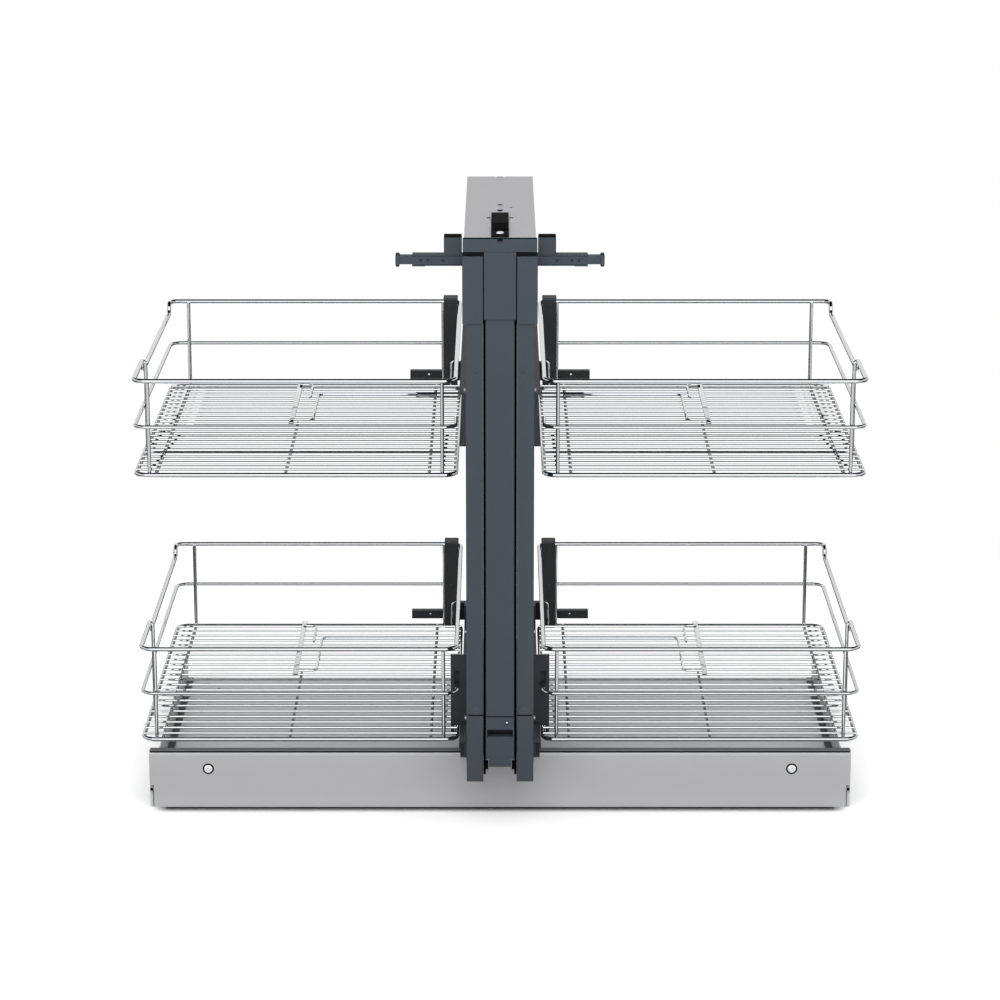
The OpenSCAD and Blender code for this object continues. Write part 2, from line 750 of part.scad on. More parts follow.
module basket_frame(side, z) {
    top = z + basket_h;
    front = basket_front_y;
    rear = basket_rear_y;
    low_start = front + side_upright_y;
    low_end = rear - corner_r - 4;
    hook_y = bracket_y + 8;
    in = rim_r + rail_wire_d / 2 - 2 * weld;
    on_side(side) color("#c8cacc") union() {
        // Top wire, set down along its outer side
        wire_x(basket_x0 + corner_r, basket_x1 - corner_r, front, top, rim_wire_d);
        wire_x(basket_x0 + corner_r, basket_x1 - corner_r, rear, top, rim_wire_d);
        wire_y(front + corner_r, rear - corner_r, basket_x0, top, rim_wire_d);
        wire_y(front + corner_r, low_start, basket_x1, top, rim_wire_d);
        step_down(basket_x1, low_start, top, side_drop, rim_wire_d);
        wire_y(low_start, low_end, basket_x1, top - side_drop, rim_wire_d);
        step_down(basket_x1, low_end, top, side_drop, rim_wire_d);
        wire_y(low_end, rear - corner_r, basket_x1, top, rim_wire_d);
        corners(z = top, d = rim_wire_d);
        // Bottom wire
        wire_x(basket_x0 + corner_r, basket_x1 - corner_r, front, z, rim_wire_d);
        wire_x(basket_x0 + corner_r, basket_x1 - corner_r, rear, z, rim_wire_d);
        wire_y(front + corner_r, rear - corner_r, basket_x0, z, rim_wire_d);
        wire_y(front + corner_r, rear - corner_r, basket_x1, z, rim_wire_d);
        corners(z = z, d = rim_wire_d);
        // Middle rail, open on the inner side
        wire_x(basket_x0 + corner_r, basket_x1 - corner_r, front, z + mid_rail_z, rail_wire_d);
        wire_x(basket_x0 + rear_inner_upright_in, basket_x1 - corner_r, rear, z + mid_rail_z, rail_wire_d);
        wire_y(front + corner_r, rear - corner_r, basket_x1, z + mid_rail_z, rail_wire_d);
        wire_y(front + corner_r, hook_y, basket_x0, z + mid_rail_z, rail_wire_d);
        bend_xy(basket_x0 + corner_r, front + corner_r, z + mid_rail_z, 180, corner_r, rail_wire_d);
        bend_xy(basket_x1 - corner_r, front + corner_r, z + mid_rail_z, 270, corner_r, rail_wire_d);
        bend_xy(basket_x1 - corner_r, rear - corner_r, z + mid_rail_z, 0, corner_r, rail_wire_d);
        // Uprights just inside the wires
        wire_z(z, top, basket_x1 - front_upright_in, front + in, rail_wire_d);
        wire_z(z, top, basket_x0 + inner_upright_in, front + in, rail_wire_d);
        wire_z(z, top, basket_x1 - rear_upright_in, rear - in, rail_wire_d);
        wire_z(z, top, basket_x0 + rear_inner_upright_in, rear - in, rail_wire_d);
        wire_z(z, top, basket_x1 - in, low_start - side_upright_in, rail_wire_d);
        // Long wires under the floor
        for (x = [basket_x1 - rear_upright_in, centre_wire_x, basket_x0 + under_wire_in])
            wire_y(front, rear, x, z + rim_r - under_wire_d / 2, under_wire_d);
    }
}

module corners(z, d) {
    bend_xy(basket_x0 + corner_r, basket_front_y + corner_r, z, 180, corner_r, d);
    bend_xy(basket_x1 - corner_r, basket_front_y + corner_r, z, 270, corner_r, d);
    bend_xy(basket_x1 - corner_r, basket_rear_y - corner_r, z, 0, corner_r, d);
    bend_xy(basket_x0 + corner_r, basket_rear_y - corner_r, z, 90, corner_r, d);
}

module basket_floor(side, z) {
    wire_z0 = z + floor_lift;
    rear = basket_rear_y - rim_r - fit;
    strip_y = basket_front_y + floor_strip_y;
    strip_x = centre_wire_x + floor_strip_x;
    loop_x = centre_wire_x - loop_in;
    loop_y = strip_y + floor_strip_w;
    loop_z = wire_z0 + floor_wire_d - weld;
    on_side(side) color("#bfc1c4") union() {
        for (i = [0 : floor_count - 1])
            wire_x(basket_x0, basket_x1, basket_front_y + floor_first + i * floor_pitch, wire_z0,
                floor_wire_d);
        translate([strip_x, strip_y, wire_z0 + floor_wire_d / 2 - weld])
            cube([floor_strip_w, rear - strip_y, floor_strip_t]);
        wire_x(loop_x, strip_x + 2, loop_y, loop_z, floor_wire_d);
        wire_y(loop_y, rear - loop_rear_in, loop_x, loop_z, floor_wire_d);
        wire_x(basket_x0 + under_wire_in, loop_x, rear - loop_rear_in, loop_z, floor_wire_d);
    }
}

base_pan();
front_panel();
panel_screws();
edge_strips();
lower_cover();
lower_beam();
upper_beam();
lower_fixed_runners();
upper_channel();
upper_fixed_runners();
channel_cap();
channel_strap();
strap_screw();
middle_post();
middle_sleeve();
foot_bracket();
foot_screw();
side_post("left");  // left_post
side_sleeve("left");  // left_sleeve
runner_block("left");  // left_runner_block
cross_rail("left");  // left_cross_rail
cross_slider("left");  // left_cross_slider
slider_cap("left");  // left_slider_cap
upper_runner("left");  // left_upper_runner
lower_runner("left");  // left_lower_runner
middle_runner("left", upper_runner_z);  // left_upper_runner_middle
middle_runner("left", low_runner_z);  // left_lower_runner_middle
side_rail("left", upper_rail_z, upper_rail_h);  // left_upper_rail
side_rail("left", lower_rail_z, lower_rail_h);  // left_lower_rail
front_bracket("left");  // left_front_bracket
hanger("left", upper_basket_z);  // left_upper_hanger
hanger("left", lower_basket_z);  // left_lower_hanger
support_arms("left");  // left_support_arms
basket_frame("left", upper_basket_z);  // left_upper_basket_frame
basket_floor("left", upper_basket_z);  // left_upper_basket_floor
basket_frame("left", lower_basket_z);  // left_lower_basket_frame
basket_floor("left", lower_basket_z);  // left_lower_basket_floor
side_post("right");  // right_post
side_sleeve("right");  // right_sleeve
runner_block("right");  // right_runner_block
cross_rail("right");  // right_cross_rail
cross_slider("right");  // right_cross_slider
slider_cap("right");  // right_slider_cap
upper_runner("right");  // right_upper_runner
lower_runner("right");  // right_lower_runner
middle_runner("right", upper_runner_z);  // right_upper_runner_middle
middle_runner("right", low_runner_z);  // right_lower_runner_middle
side_rail("right", upper_rail_z, upper_rail_h);  // right_upper_rail
side_rail("right", lower_rail_z, lower_rail_h);  // right_lower_rail
front_bracket("right");  // right_front_bracket
hanger("right", upper_basket_z);  // right_upper_hanger
hanger("right", lower_basket_z);  // right_lower_hanger
support_arms("right");  // right_support_arms
basket_frame("right", upper_basket_z);  // right_upper_basket_frame
basket_floor("right", upper_basket_z);  // right_upper_basket_floor
basket_frame("right", lower_basket_z);  // right_lower_basket_frame
basket_floor("right", lower_basket_z);  // right_lower_basket_floor
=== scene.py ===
"""The finished looks of a blind corner pull out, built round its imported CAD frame.

The unit is a folded steel floor tray, a coated column, an upper channel with its runners, and on
each side a frame that carries two chrome wire baskets. Sizes and places are millimetres, as on a
workshop drawing, unless a name or a comment says otherwise. Meshes are in metres, in the same frame
as the CAD.
"""

import json
import logging
import math
from dataclasses import dataclass, field
from enum import Enum
from typing import Iterable, Sequence

import bmesh
import bpy
from mathutils import Matrix, Vector

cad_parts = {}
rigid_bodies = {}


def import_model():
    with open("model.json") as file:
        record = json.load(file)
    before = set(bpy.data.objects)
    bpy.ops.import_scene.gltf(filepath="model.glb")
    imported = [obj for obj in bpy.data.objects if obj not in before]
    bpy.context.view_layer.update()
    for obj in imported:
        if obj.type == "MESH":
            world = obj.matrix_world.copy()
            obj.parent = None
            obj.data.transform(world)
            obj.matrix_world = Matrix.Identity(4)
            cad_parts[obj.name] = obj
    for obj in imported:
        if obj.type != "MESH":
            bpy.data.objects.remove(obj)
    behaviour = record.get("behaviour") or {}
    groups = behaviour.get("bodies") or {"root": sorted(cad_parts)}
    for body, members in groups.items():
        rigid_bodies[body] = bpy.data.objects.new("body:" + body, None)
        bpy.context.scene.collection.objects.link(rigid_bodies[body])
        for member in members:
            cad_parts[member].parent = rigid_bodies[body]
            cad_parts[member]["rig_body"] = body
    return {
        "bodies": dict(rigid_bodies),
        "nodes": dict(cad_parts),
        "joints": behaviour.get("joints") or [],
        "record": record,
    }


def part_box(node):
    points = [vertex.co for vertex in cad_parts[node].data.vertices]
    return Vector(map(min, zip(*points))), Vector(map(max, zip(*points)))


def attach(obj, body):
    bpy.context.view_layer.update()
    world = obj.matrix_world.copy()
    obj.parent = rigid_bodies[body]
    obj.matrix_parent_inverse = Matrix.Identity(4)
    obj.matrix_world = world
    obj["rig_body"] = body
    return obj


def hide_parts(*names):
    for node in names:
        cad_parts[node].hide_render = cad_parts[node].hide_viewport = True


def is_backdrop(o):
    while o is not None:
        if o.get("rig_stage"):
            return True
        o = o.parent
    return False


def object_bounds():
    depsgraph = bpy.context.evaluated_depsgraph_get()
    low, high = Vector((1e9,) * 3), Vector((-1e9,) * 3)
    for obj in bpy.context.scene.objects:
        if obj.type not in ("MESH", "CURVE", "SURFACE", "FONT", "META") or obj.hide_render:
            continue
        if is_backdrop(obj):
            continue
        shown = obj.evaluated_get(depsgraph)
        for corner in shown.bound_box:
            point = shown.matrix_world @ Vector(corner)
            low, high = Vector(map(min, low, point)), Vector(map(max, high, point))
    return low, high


MM = 0.001
Point = tuple[float, float, float]
Pair = tuple[float, float]
Outline = tuple[Pair, ...]
Mesh = bmesh.types.BMesh
Socket = bpy.types.NodeSocket
UP: Point = (0.0, 0.0, 1.0)
TO_FRONT: Point = (0.0, -1.0, 0.0)
BOTH_SIDES = (-1, 1)
WHITE = (1.0, 1.0, 1.0, 1.0)
log = logging.getLogger("corner_unit")


class Side(Enum):
    """The two halves of the unit, seen from the front."""

    LEFT = "left"
    RIGHT = "right"

    @property
    def sign(self) -> int:
        """Which way this side lies from the middle line along X."""
        return -1 if self is Side.LEFT else 1

    def node(self, name: str) -> str:
        """The CAD node of this side with that plain name."""
        return f"{self.value}_{name}"


class Level(Enum):
    """The two basket levels, with the height of each basket's bottom wire."""

    LOWER = 85.0
    UPPER = 408.0

    @property
    def word(self) -> str:
        """The level's name as the CAD nodes spell it."""
        return self.name.lower()


def linear(code: str) -> tuple[float, float, float, float]:
    """Turns an sRGB hex value into linear colour.

    Args:
        code: six hex digits, with or without the sharp sign.

    Returns:
        Linear red, green, blue and an alpha of 1.
    """
    digits = code.lstrip("#")
    parts = [int(digits[i:i + 2], 16) / 255 for i in (0, 2, 4)]
    toned = [c / 12.92 if c <= 0.04045 else ((c + 0.055) / 1.055) ** 2.4 for c in parts]
    return (toned[0], toned[1], toned[2], 1.0)


def cells(size_mm: float) -> float:
    """The texture scale that gives features of a real size, on coordinates in metres."""
    return 1.0 / (size_mm * MM)


def add_node(
    tree: bpy.types.NodeTree,
    kind: str,
    settings: dict[str | int, object] | None = None,
    links: dict[str | int, Socket] | None = None,
) -> bpy.types.Node:
    """Adds one shader node with its settings and links.

    Args:
        tree: the node tree to add to.
        kind: the node's class name.
        settings: values by input socket, or by property where no socket has that name.
        links: output sockets that feed this node's inputs.

    Returns:
        The new node.
    """
    node = tree.nodes.new(kind)
    for key, value in (settings or {}).items():
        if isinstance(key, int) or key in node.inputs:
            node.inputs[key].default_value = value
        else:
            setattr(node, key, value)
    for key, socket in (links or {}).items():
        tree.links.new(socket, node.inputs[key])
    return node


def in_sight(tree: bpy.types.NodeTree) -> Socket:
    """Is 1 for a ray from the camera or from a mirroring surface, or else 0."""
    path = add_node(tree, "ShaderNodeLightPath")
    rays = {0: path.outputs["Is Camera Ray"], 1: path.outputs["Is Glossy Ray"]}
    return add_node(tree, "ShaderNodeMath", {"operation": "MAXIMUM"}, rays).outputs[0]


def blank_material(name: str) -> bpy.types.Material:
    """Makes a material with an empty node tree."""
    material = bpy.data.materials.new(name)
    material.use_nodes = True
    material.node_tree.nodes.clear()
    return material


# Finishes


@dataclass(frozen=True)
class Finish:
    """What every surface of the unit shares: a colour that drifts a little and a fine relief."""

    name: str
    colour: str
    slot: str
    roughness: float
    drift_mm: float
    drift: float
    grain_mm: float
    relief_mm: float
    rough_drift: float
    metallic: float = 0.0
    shine: float = 0.5
    stretch: Point = (1.0, 1.0, 1.0)

    def material(self) -> bpy.types.Material:
        """Builds the shader, or returns it where it was built before.

        Returns:
            The material, on Object coordinates in metres.
        """
        found = bpy.data.materials.get(self.name)
        if found:
            return found
        material = blank_material(self.name)
        tree = material.node_tree
        place = {"Vector": add_node(tree, "ShaderNodeTexCoord").outputs["Object"]}
        mapped = add_node(tree, "ShaderNodeMapping", {"Scale": self.stretch}, place)
        along = {"Vector": mapped.outputs["Vector"]}
        patches = {"Scale": cells(self.drift_mm), "Detail": 3.0, "Roughness": 0.55}
        cloud = add_node(tree, "ShaderNodeTexNoise", patches, along)
        base = linear(self.colour)
        shares = (1 - self.drift, 1 + self.drift)
        dark, light = ((*(min(1.0, c * share) for c in base[:3]), 1.0) for share in shares)
        tones = {"data_type": "RGBA", 6: dark, 7: light}
        tone = add_node(tree, "ShaderNodeMix", tones, {0: cloud.outputs["Fac"]})
        specks = {"Scale": cells(self.grain_mm), "Detail": 2.0, "Roughness": 0.6}
        grain = add_node(tree, "ShaderNodeTexNoise", specks, along)
        spread = {
            "From Min": 0.3,
            "From Max": 0.7,
            "To Min": max(0.02, self.roughness - self.rough_drift),
            "To Max": self.roughness + self.rough_drift,
        }
        rough = add_node(tree, "ShaderNodeMapRange", spread, {"Value": grain.outputs["Fac"]})
        depth = {"Strength": 1.0, "Distance": self.relief_mm * MM}
        relief = add_node(tree, "ShaderNodeBump", depth, {"Height": grain.outputs["Fac"]})
        shader = add_node(
            tree,
            "ShaderNodeBsdfPrincipled",
            {"Metallic": self.metallic, "Specular IOR Level": self.shine},
            {
                "Base Color": tone.outputs[2],
                "Roughness": rough.outputs["Result"],
                "Normal": relief.outputs["Normal"],
            },
        )
        add_node(tree, "ShaderNodeOutputMaterial", None, {"Surface": shader.outputs["BSDF"]})
        return material


# Steel sheet under a silver metallic coat: pale grey, satin, with a faint orange peel and aluminium
# flakes that mirror the room a little. The peel of 1 mm is drawn at 3 mm so that it shows.
SILVER_COAT = Finish(
    name="silver_metallic_coat_satin", colour="#b0b0b3", slot="grey_sheet", metallic=0.1, roughness=0.38,
    drift_mm=90.0, drift=0.02, grain_mm=3.0, relief_mm=0.001, rough_drift=0.03,
)

# The tray's own sheet, skin passed and clear coated over zinc, satin. Its grey is paler than the panel's as
# painted light, which brightens the tray's floor in the baskets' shade.
LIGHTENED_TRAY_SHEET = Finish(
    name="clear_coated_zinc_sheet", colour="#bfc0c3", slot="grey_sheet", metallic=0.1, roughness=0.4,
    drift_mm=110.0, drift=0.025, grain_mm=3.0, relief_mm=0.001, rough_drift=0.04,
)

# Steel profile under an anthracite powder coat: blue grey, satin, with an orange peel that is drawn
# at 2.2 mm, coarser than real, so that it shows.
ANTHRACITE_COAT = Finish(
    name="anthracite_powder_coat_satin", colour="#3a4249", slot="anthracite_coat", roughness=0.48,
    drift_mm=70.0, drift=0.05, grain_mm=2.2, relief_mm=0.012, rough_drift=0.06, shine=0.24,
)

# Steel beams, rails and brackets in a darker, flatter coat, as sprayed over punched parts. Its peel is drawn
# at 2 mm, coarser than real.
DARK_COAT = Finish(
    name="dark_powder_coat_matt", colour="#34393f", slot="anthracite_coat", roughness=0.52, drift_mm=60.0,
    drift=0.06, grain_mm=2.0, relief_mm=0.015, rough_drift=0.06, shine=0.3,
)

# Injection moulded black polyamide: a spark eroded mould leaves a fine even grain, drawn at 1.6 mm.
BLACK_MOULDING = Finish(
    name="black_polyamide_moulded", colour="#25282b", slot="black_plastic", roughness=0.5, drift_mm=40.0,
    drift=0.08, grain_mm=1.6, relief_mm=0.02, rough_drift=0.08, shine=0.35,
)

# Extruded black rubber, dull and slightly dusty, for the strap. The same black paints shade, and the dark
# reflection on tops, into slots, holes, gaps, openings and seams.
BLACK_RUBBER_AND_SHADE = Finish(
    name="black_rubber_extruded", colour="#0c0c0d", slot="black_plastic", roughness=0.75, drift_mm=30.0,
    drift=0.15, grain_mm=1.2, relief_mm=0.01, rough_drift=0.08, shine=0.12,
)

# A mid grey band, smooth, laid on the folded top edge of the front panel: painted reflection of the dark
# room above in the rounded fold.
FOLD_REFLECTION_GREY = Finish(
    name="grey_vinyl_edging", colour="#6c6d70", slot="black_plastic", roughness=0.55, drift_mm=60.0,
    drift=0.08, grain_mm=2.0, relief_mm=0.01, rough_drift=0.06, shine=0.2,
)

# Drawn steel wire, bright nickel and chromium plated after welding: a mirror with faint die lines.
CHROME_WIRE = Finish(
    name="chrome_plated_drawn_wire", colour="#c6c8ca", slot="chrome_wire", metallic=1.0, roughness=0.03,
    drift_mm=45.0, drift=0.02, grain_mm=9.0, relief_mm=0.0002, rough_drift=0.006,
)

# Cold rolled strip, zinc plated and blued: a soft grey metal with a cloudy bloom along the roll.
ZINC_STRIP = Finish(
    name="zinc_plated_rolled_strip", colour="#a9acaf", slot="zinc_runner", metallic=1.0, roughness=0.34,
    drift_mm=25.0, drift=0.06, grain_mm=3.0, relief_mm=0.008, rough_drift=0.08, stretch=(1.0, 0.15, 1.0),
)

# Cold headed screw, bright zinc plated, a little uneven from the die.
BRIGHT_SCREW = Finish(
    name="bright_zinc_screw", colour="#f4f5f7", slot="bright_screw", metallic=0.35, roughness=0.2,
    drift_mm=3.0, drift=0.05, grain_mm=1.5, relief_mm=0.01, rough_drift=0.06,
)


# Mesh helpers


def soften(bm: Mesh, parts: list, radius: float, segments: int) -> None:
    """Rounds edges, as a coat of powder or a mould does.

    Args:
        bm: the mesh to change.
        parts: the edges, and the vertices where whole corners are rounded too.
        radius: the edge radius.
        segments: how many faces go round an edge.
    """
    bmesh.ops.bevel(
        bm, geom=parts, offset=radius * MM, offset_type="OFFSET", segments=segments,
        profile=0.5, affect="EDGES", clamp_overlap=True, material=-1,
    )


def box(bm: Mesh, low: Point, high: Point, soft: float = 0.0) -> None:
    """Adds a block between two corners, with its edges rounded.

    Args:
        bm: the mesh to add to.
        low: lowest corner.
        high: highest corner.
        soft: radius of the edges, or 0 to leave them sharp.
    """
    size = [(h - l) * MM for l, h in zip(low, high)]
    centre = Vector([(h + l) / 2 * MM for l, h in zip(low, high)])
    place = Matrix.Translation(centre) @ Matrix.Diagonal((*size, 1.0))
    verts = bmesh.ops.create_cube(bm, size=1.0, matrix=place)["verts"]
    if soft:
        soften(bm, verts + list({e for v in verts for e in v.link_edges}), soft, 3)


@dataclass(frozen=True)
class Block:
    """A block with rounded edges, drawn for the right side, with its corners."""

    low: Point
    high: Point
    soft: float

    def add(self, bm: Mesh, sign: int = 1, face: float = 0.0) -> None:
        """Adds the block to a mesh.

        Args:
            bm: the mesh to add to.
            sign: -1 to mirror it to the left side, or else 1.
            face: where the face lies along Y that it is drawn from.
        """
        xs = sorted((sign * self.low[0], sign * self.high[0]))
        low, high = self.low, self.high
        box(bm, (xs[0], face + low[1], low[2]), (xs[1], face + high[1], high[2]), self.soft)


Blocks = tuple[Block, ...]


def limits(node: str) -> tuple[Vector, Vector]:
    """The lowest and the highest corner of a CAD node, in millimetres."""
    low, high = (Vector(corner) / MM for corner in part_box(node))
    return low, high


def standing(centre: Point, axis: Point) -> Matrix:
    """The place of a shape that is drawn along +Z and stands on a centre along an axis."""
    turn = Vector(UP).rotation_difference(Vector(axis)).to_matrix().to_4x4()
    return Matrix.Translation(Vector(centre) * MM) @ turn


def turned(bm: Mesh, outline: Sequence[Pair], centre: Point, axis: Point, steps: int) -> None:
    """Turns an outline round an axis, as a lathe does.

    Args:
        bm: the mesh to add to.
        outline: distances from the axis and heights along it.
        centre: where the axis starts.
        axis: the axis's direction.
        steps: how many faces go round.
    """
    place = standing(centre, axis)
    verts = [bm.verts.new(place @ Vector((r * MM, 0.0, h * MM))) for r, h in outline]
    edges = [bm.edges.new(pair) for pair in zip(verts, verts[1:])]
    bmesh.ops.spin(
        bm, geom=verts + edges, cent=Vector(centre) * MM, axis=Vector(axis),
        angle=2 * math.pi, steps=steps, use_merge=True,
    )
    bmesh.ops.remove_doubles(bm, verts=bm.verts, dist=1e-6)
    bmesh.ops.recalc_face_normals(bm, faces=bm.faces)


def carve(blank: Mesh, tool: Mesh, target: Mesh) -> None:
    """Cuts one closed mesh out of another, and frees both.

    Args:
        blank: the mesh that is cut.
        tool: the mesh that is taken away.
        target: the mesh that what is left is added to.
    """
    stock = placed("stock", meshed("stock", blank))
    cutter = placed("cutter", meshed("cutter", tool))
    cut = stock.modifiers.new("cut", "BOOLEAN")
    cut.operation = "DIFFERENCE"
    cut.solver = "EXACT"
    cut.object = cutter
    bpy.context.view_layer.update()
    target.from_object(stock, bpy.context.evaluated_depsgraph_get())
    for thing in (stock, cutter):
        mesh = thing.data
        bpy.data.objects.remove(thing)
        bpy.data.meshes.remove(mesh)


def meshed(name: str, bm: Mesh) -> bpy.types.Mesh:
    """Makes a mesh for an object, and frees the bmesh."""
    mesh = bpy.data.meshes.new(name)
    bm.to_mesh(mesh)
    bm.free()
    return mesh


def placed(name: str, data: bpy.types.ID) -> bpy.types.Object:
    """Puts a mesh, a curve, a light or a camera in the scene as an object."""
    thing = bpy.data.objects.new(name, data)
    bpy.context.scene.collection.objects.link(thing)
    return thing


# A turn under so many radians isn't bent. A bend takes at most this share of each straight beside it,
# and has a point every so many degrees.
LEAST_TURN = 0.02
BEND_SHARE = 0.49
BEND_STEP = 12


def rounded_route(points: Sequence[Point], radius: float, closed: bool = False) -> list[Vector]:
    """Rounds the corners of a route, as a wire bender does.

    Args:
        points: the route's corners.
        radius: the bend radius, made smaller where two corners are near.
        closed: whether the last corner runs on to the first.

    Returns:
        The points of the route, with an arc at each corner.
    """
    corners = [Vector(p) for p in points]
    count = len(corners)
    route: list[Vector] = []
    for i, here in enumerate(corners):
        if not closed and i in (0, count - 1):
            route.append(here)
            continue
        before = corners[i - 1] - here
        after = corners[(i + 1) % count] - here
        turn = math.pi - before.angle(after)
        if turn < LEAST_TURN:
            route.append(here)
            continue
        room = min(before.length * BEND_SHARE, after.length * BEND_SHARE)
        reach = min(radius * math.tan(turn / 2), room)
        bend = reach / math.tan(turn / 2)
        start = here + before.normalized() * reach
        end = here + after.normalized() * reach
        inward = (before.normalized() + after.normalized()).normalized()
        centre = here + inward * math.hypot(bend, reach)
        steps = max(3, round(math.degrees(turn) / BEND_STEP))
        first, last = (start - centre).normalized(), (end - centre).normalized()
        for k in range(steps + 1):
            route.append(centre + first.slerp(last, k / steps) * bend)
    return route


@dataclass
class Wires:
    """Bent wires that are plated together as one piece."""

    sign: int = 1
    runs: list[tuple[list[Vector], float, bool]] = field(default_factory=list)

    def bend(
        self, points: Sequence[Point], diameter: float, radius: float = 0.0, closed: bool = False
    ) -> None:
        """Adds a wire.

        Args:
            points: the corners of its centre line, drawn for the right side.
            diameter: the wire's diameter.
            radius: the bend radius at the corners.
            closed: whether its ends are welded together.
        """
        route = rounded_route(points, radius, closed) if radius else [Vector(p) for p in points]
        self.runs.append((route, diameter, closed))

    def mesh(self, name: str, sections: int = 4) -> Mesh:
        """Sweeps a round section along every wire.

        Args:
            name: a name for the curve that does the sweeping.
            sections: the curve's bevel resolution.

        Returns:
            The swept tubes, closed at their ends.
        """
        curve = bpy.data.curves.new(name, "CURVE")
        curve.dimensions = "3D"
        curve.bevel_depth = MM
        curve.bevel_resolution = sections
        curve.use_fill_caps = True
        curve.twist_mode = "MINIMUM"
        for route, diameter, closed in self.runs:
            spline = curve.splines.new("POLY")
            spline.points.add(len(route) - 1)
            for point, place in zip(spline.points, route):
                point.co = (place.x * self.sign * MM, place.y * MM, place.z * MM, 1.0)
                point.radius = diameter / 2
            spline.use_cyclic_u = closed
            spline.use_smooth = True
        thing = placed(name, curve)
        graph = bpy.context.evaluated_depsgraph_get()
        mesh = bpy.data.meshes.new_from_object(thing.evaluated_get(graph))
        bm = bmesh.new()
        bm.from_mesh(mesh)
        bpy.data.meshes.remove(mesh)
        bpy.data.objects.remove(thing)
        bpy.data.curves.remove(curve)
        bmesh.ops.remove_doubles(bm, verts=bm.verts, dist=1e-7)
        bmesh.ops.recalc_face_normals(bm, faces=bm.faces)
        return bm


# The workshop


# Groups of CAD nodes, each with the finish, the edge radius and the faces round an edge.
Parts = tuple[tuple[tuple[str, ...], Finish, float, int], ...]


class Workshop:
    """Makes pieces from meshes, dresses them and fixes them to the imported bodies.

    Points nearer than weld, in metres, are joined. The angles are in radians: faces that meet under flat
    become one face, edges over sharp are rounded, and shading breaks at an edge over crease.
    """

    weld: float = 2e-6
    flat: float = math.radians(0.5)
    sharp: float = 0.6
    crease: float = math.radians(42.0)

    def __init__(self, frame: dict) -> None:
        """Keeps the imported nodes.
        """
        self.nodes: dict[str, bpy.types.Object] = frame["nodes"]
        self.pieces = 0

    def body(self, node: str) -> str:
        """The CAD body that a node moves with."""
        return self.nodes[node]["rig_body"]

    def merged(self, node: str) -> Mesh:
        """Copies a node's loose triangles and joins them into whole faces.

        Args:
            node: the CAD node's name.

        Returns:
            A closed mesh with one face for each flat side.
        """
        bm = bmesh.new()
        bm.from_mesh(self.nodes[node].data)
        bmesh.ops.remove_doubles(bm, verts=bm.verts, dist=self.weld)
        bmesh.ops.dissolve_limit(bm, angle_limit=self.flat, verts=bm.verts, edges=bm.edges)
        return bm

    def finish(
        self,
        name: str,
        bm: Mesh,
        finish: Finish,
        body: str,
        replaces: Iterable[str] = (),
        weighted: bool = True,
    ) -> None:
        """Makes a mesh into a dressed piece that rides on a body.

        Args:
            name: the piece's name.
            bm: its mesh in metres, which is freed.
            finish: how its surface was made.
            body: the CAD body that it moves with.
            replaces: CAD nodes that it stands for.
            weighted: whether large flat faces keep their flat shading.
        """
        mesh = meshed(name, bm)
        mesh.polygons.foreach_set("use_smooth", [True] * len(mesh.polygons))
        mesh.set_sharp_from_angle(angle=self.crease)
        mesh.materials.append(finish.material())
        piece = placed(name, mesh)
        if weighted:
            even = piece.modifiers.new("even_shading", "WEIGHTED_NORMAL")
            even.mode = "FACE_AREA"
            even.weight = 80
        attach(piece, body)
        names = tuple(replaces)
        if names:
            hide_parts(*names)
        self.pieces += 1
        log.info("made %s on %s: %d faces", name, body, len(mesh.polygons))

    def rework(self, parts: Parts, prefix: str = "") -> None:
        """Stands a softened copy in the place of each CAD node.

        Args:
            parts: the nodes with their finishes, edge radii and faces round an edge.
            prefix: what the nodes' names start with.
        """
        for names, finish, radius, segments in parts:
            for node in (prefix + name for name in names):
                bm = self.merged(node)
                pairs = (e for e in bm.edges if len(e.link_faces) == 2)
                soften(bm, [e for e in pairs if e.calc_face_angle(0.0) > self.sharp], radius, segments)
                self.finish(f"{node}_part", bm, finish, self.body(node), (node,))

    def trim(self, node: str, suffix: str, finish: Finish, bm: Mesh) -> None:
        """Makes a mesh into a small piece that moves with a node and stands beside it."""
        self.finish(f"{node}_{suffix}", bm, finish, self.body(node))

    def blocks(
        self, node: str, suffix: str, finish: Finish, blocks: Blocks,
        signs: Sequence[int] = (1,), face: float = 0.0,
    ) -> None:
        """Makes a trim of rounded blocks that moves with a node.

        Args:
            node: the CAD node's name.
            suffix: what the piece's name adds to the node's.
            finish: how its surface was made.
            blocks: the blocks, drawn for the right side.
            signs: the sides that have them, -1 for the left and 1 for the right.
            face: where the face lies along Y that they are drawn from.
        """
        bm = bmesh.new()
        for sign in signs:
            for block in blocks:
                block.add(bm, sign, face)
        self.trim(node, suffix, finish, bm)


# The unit


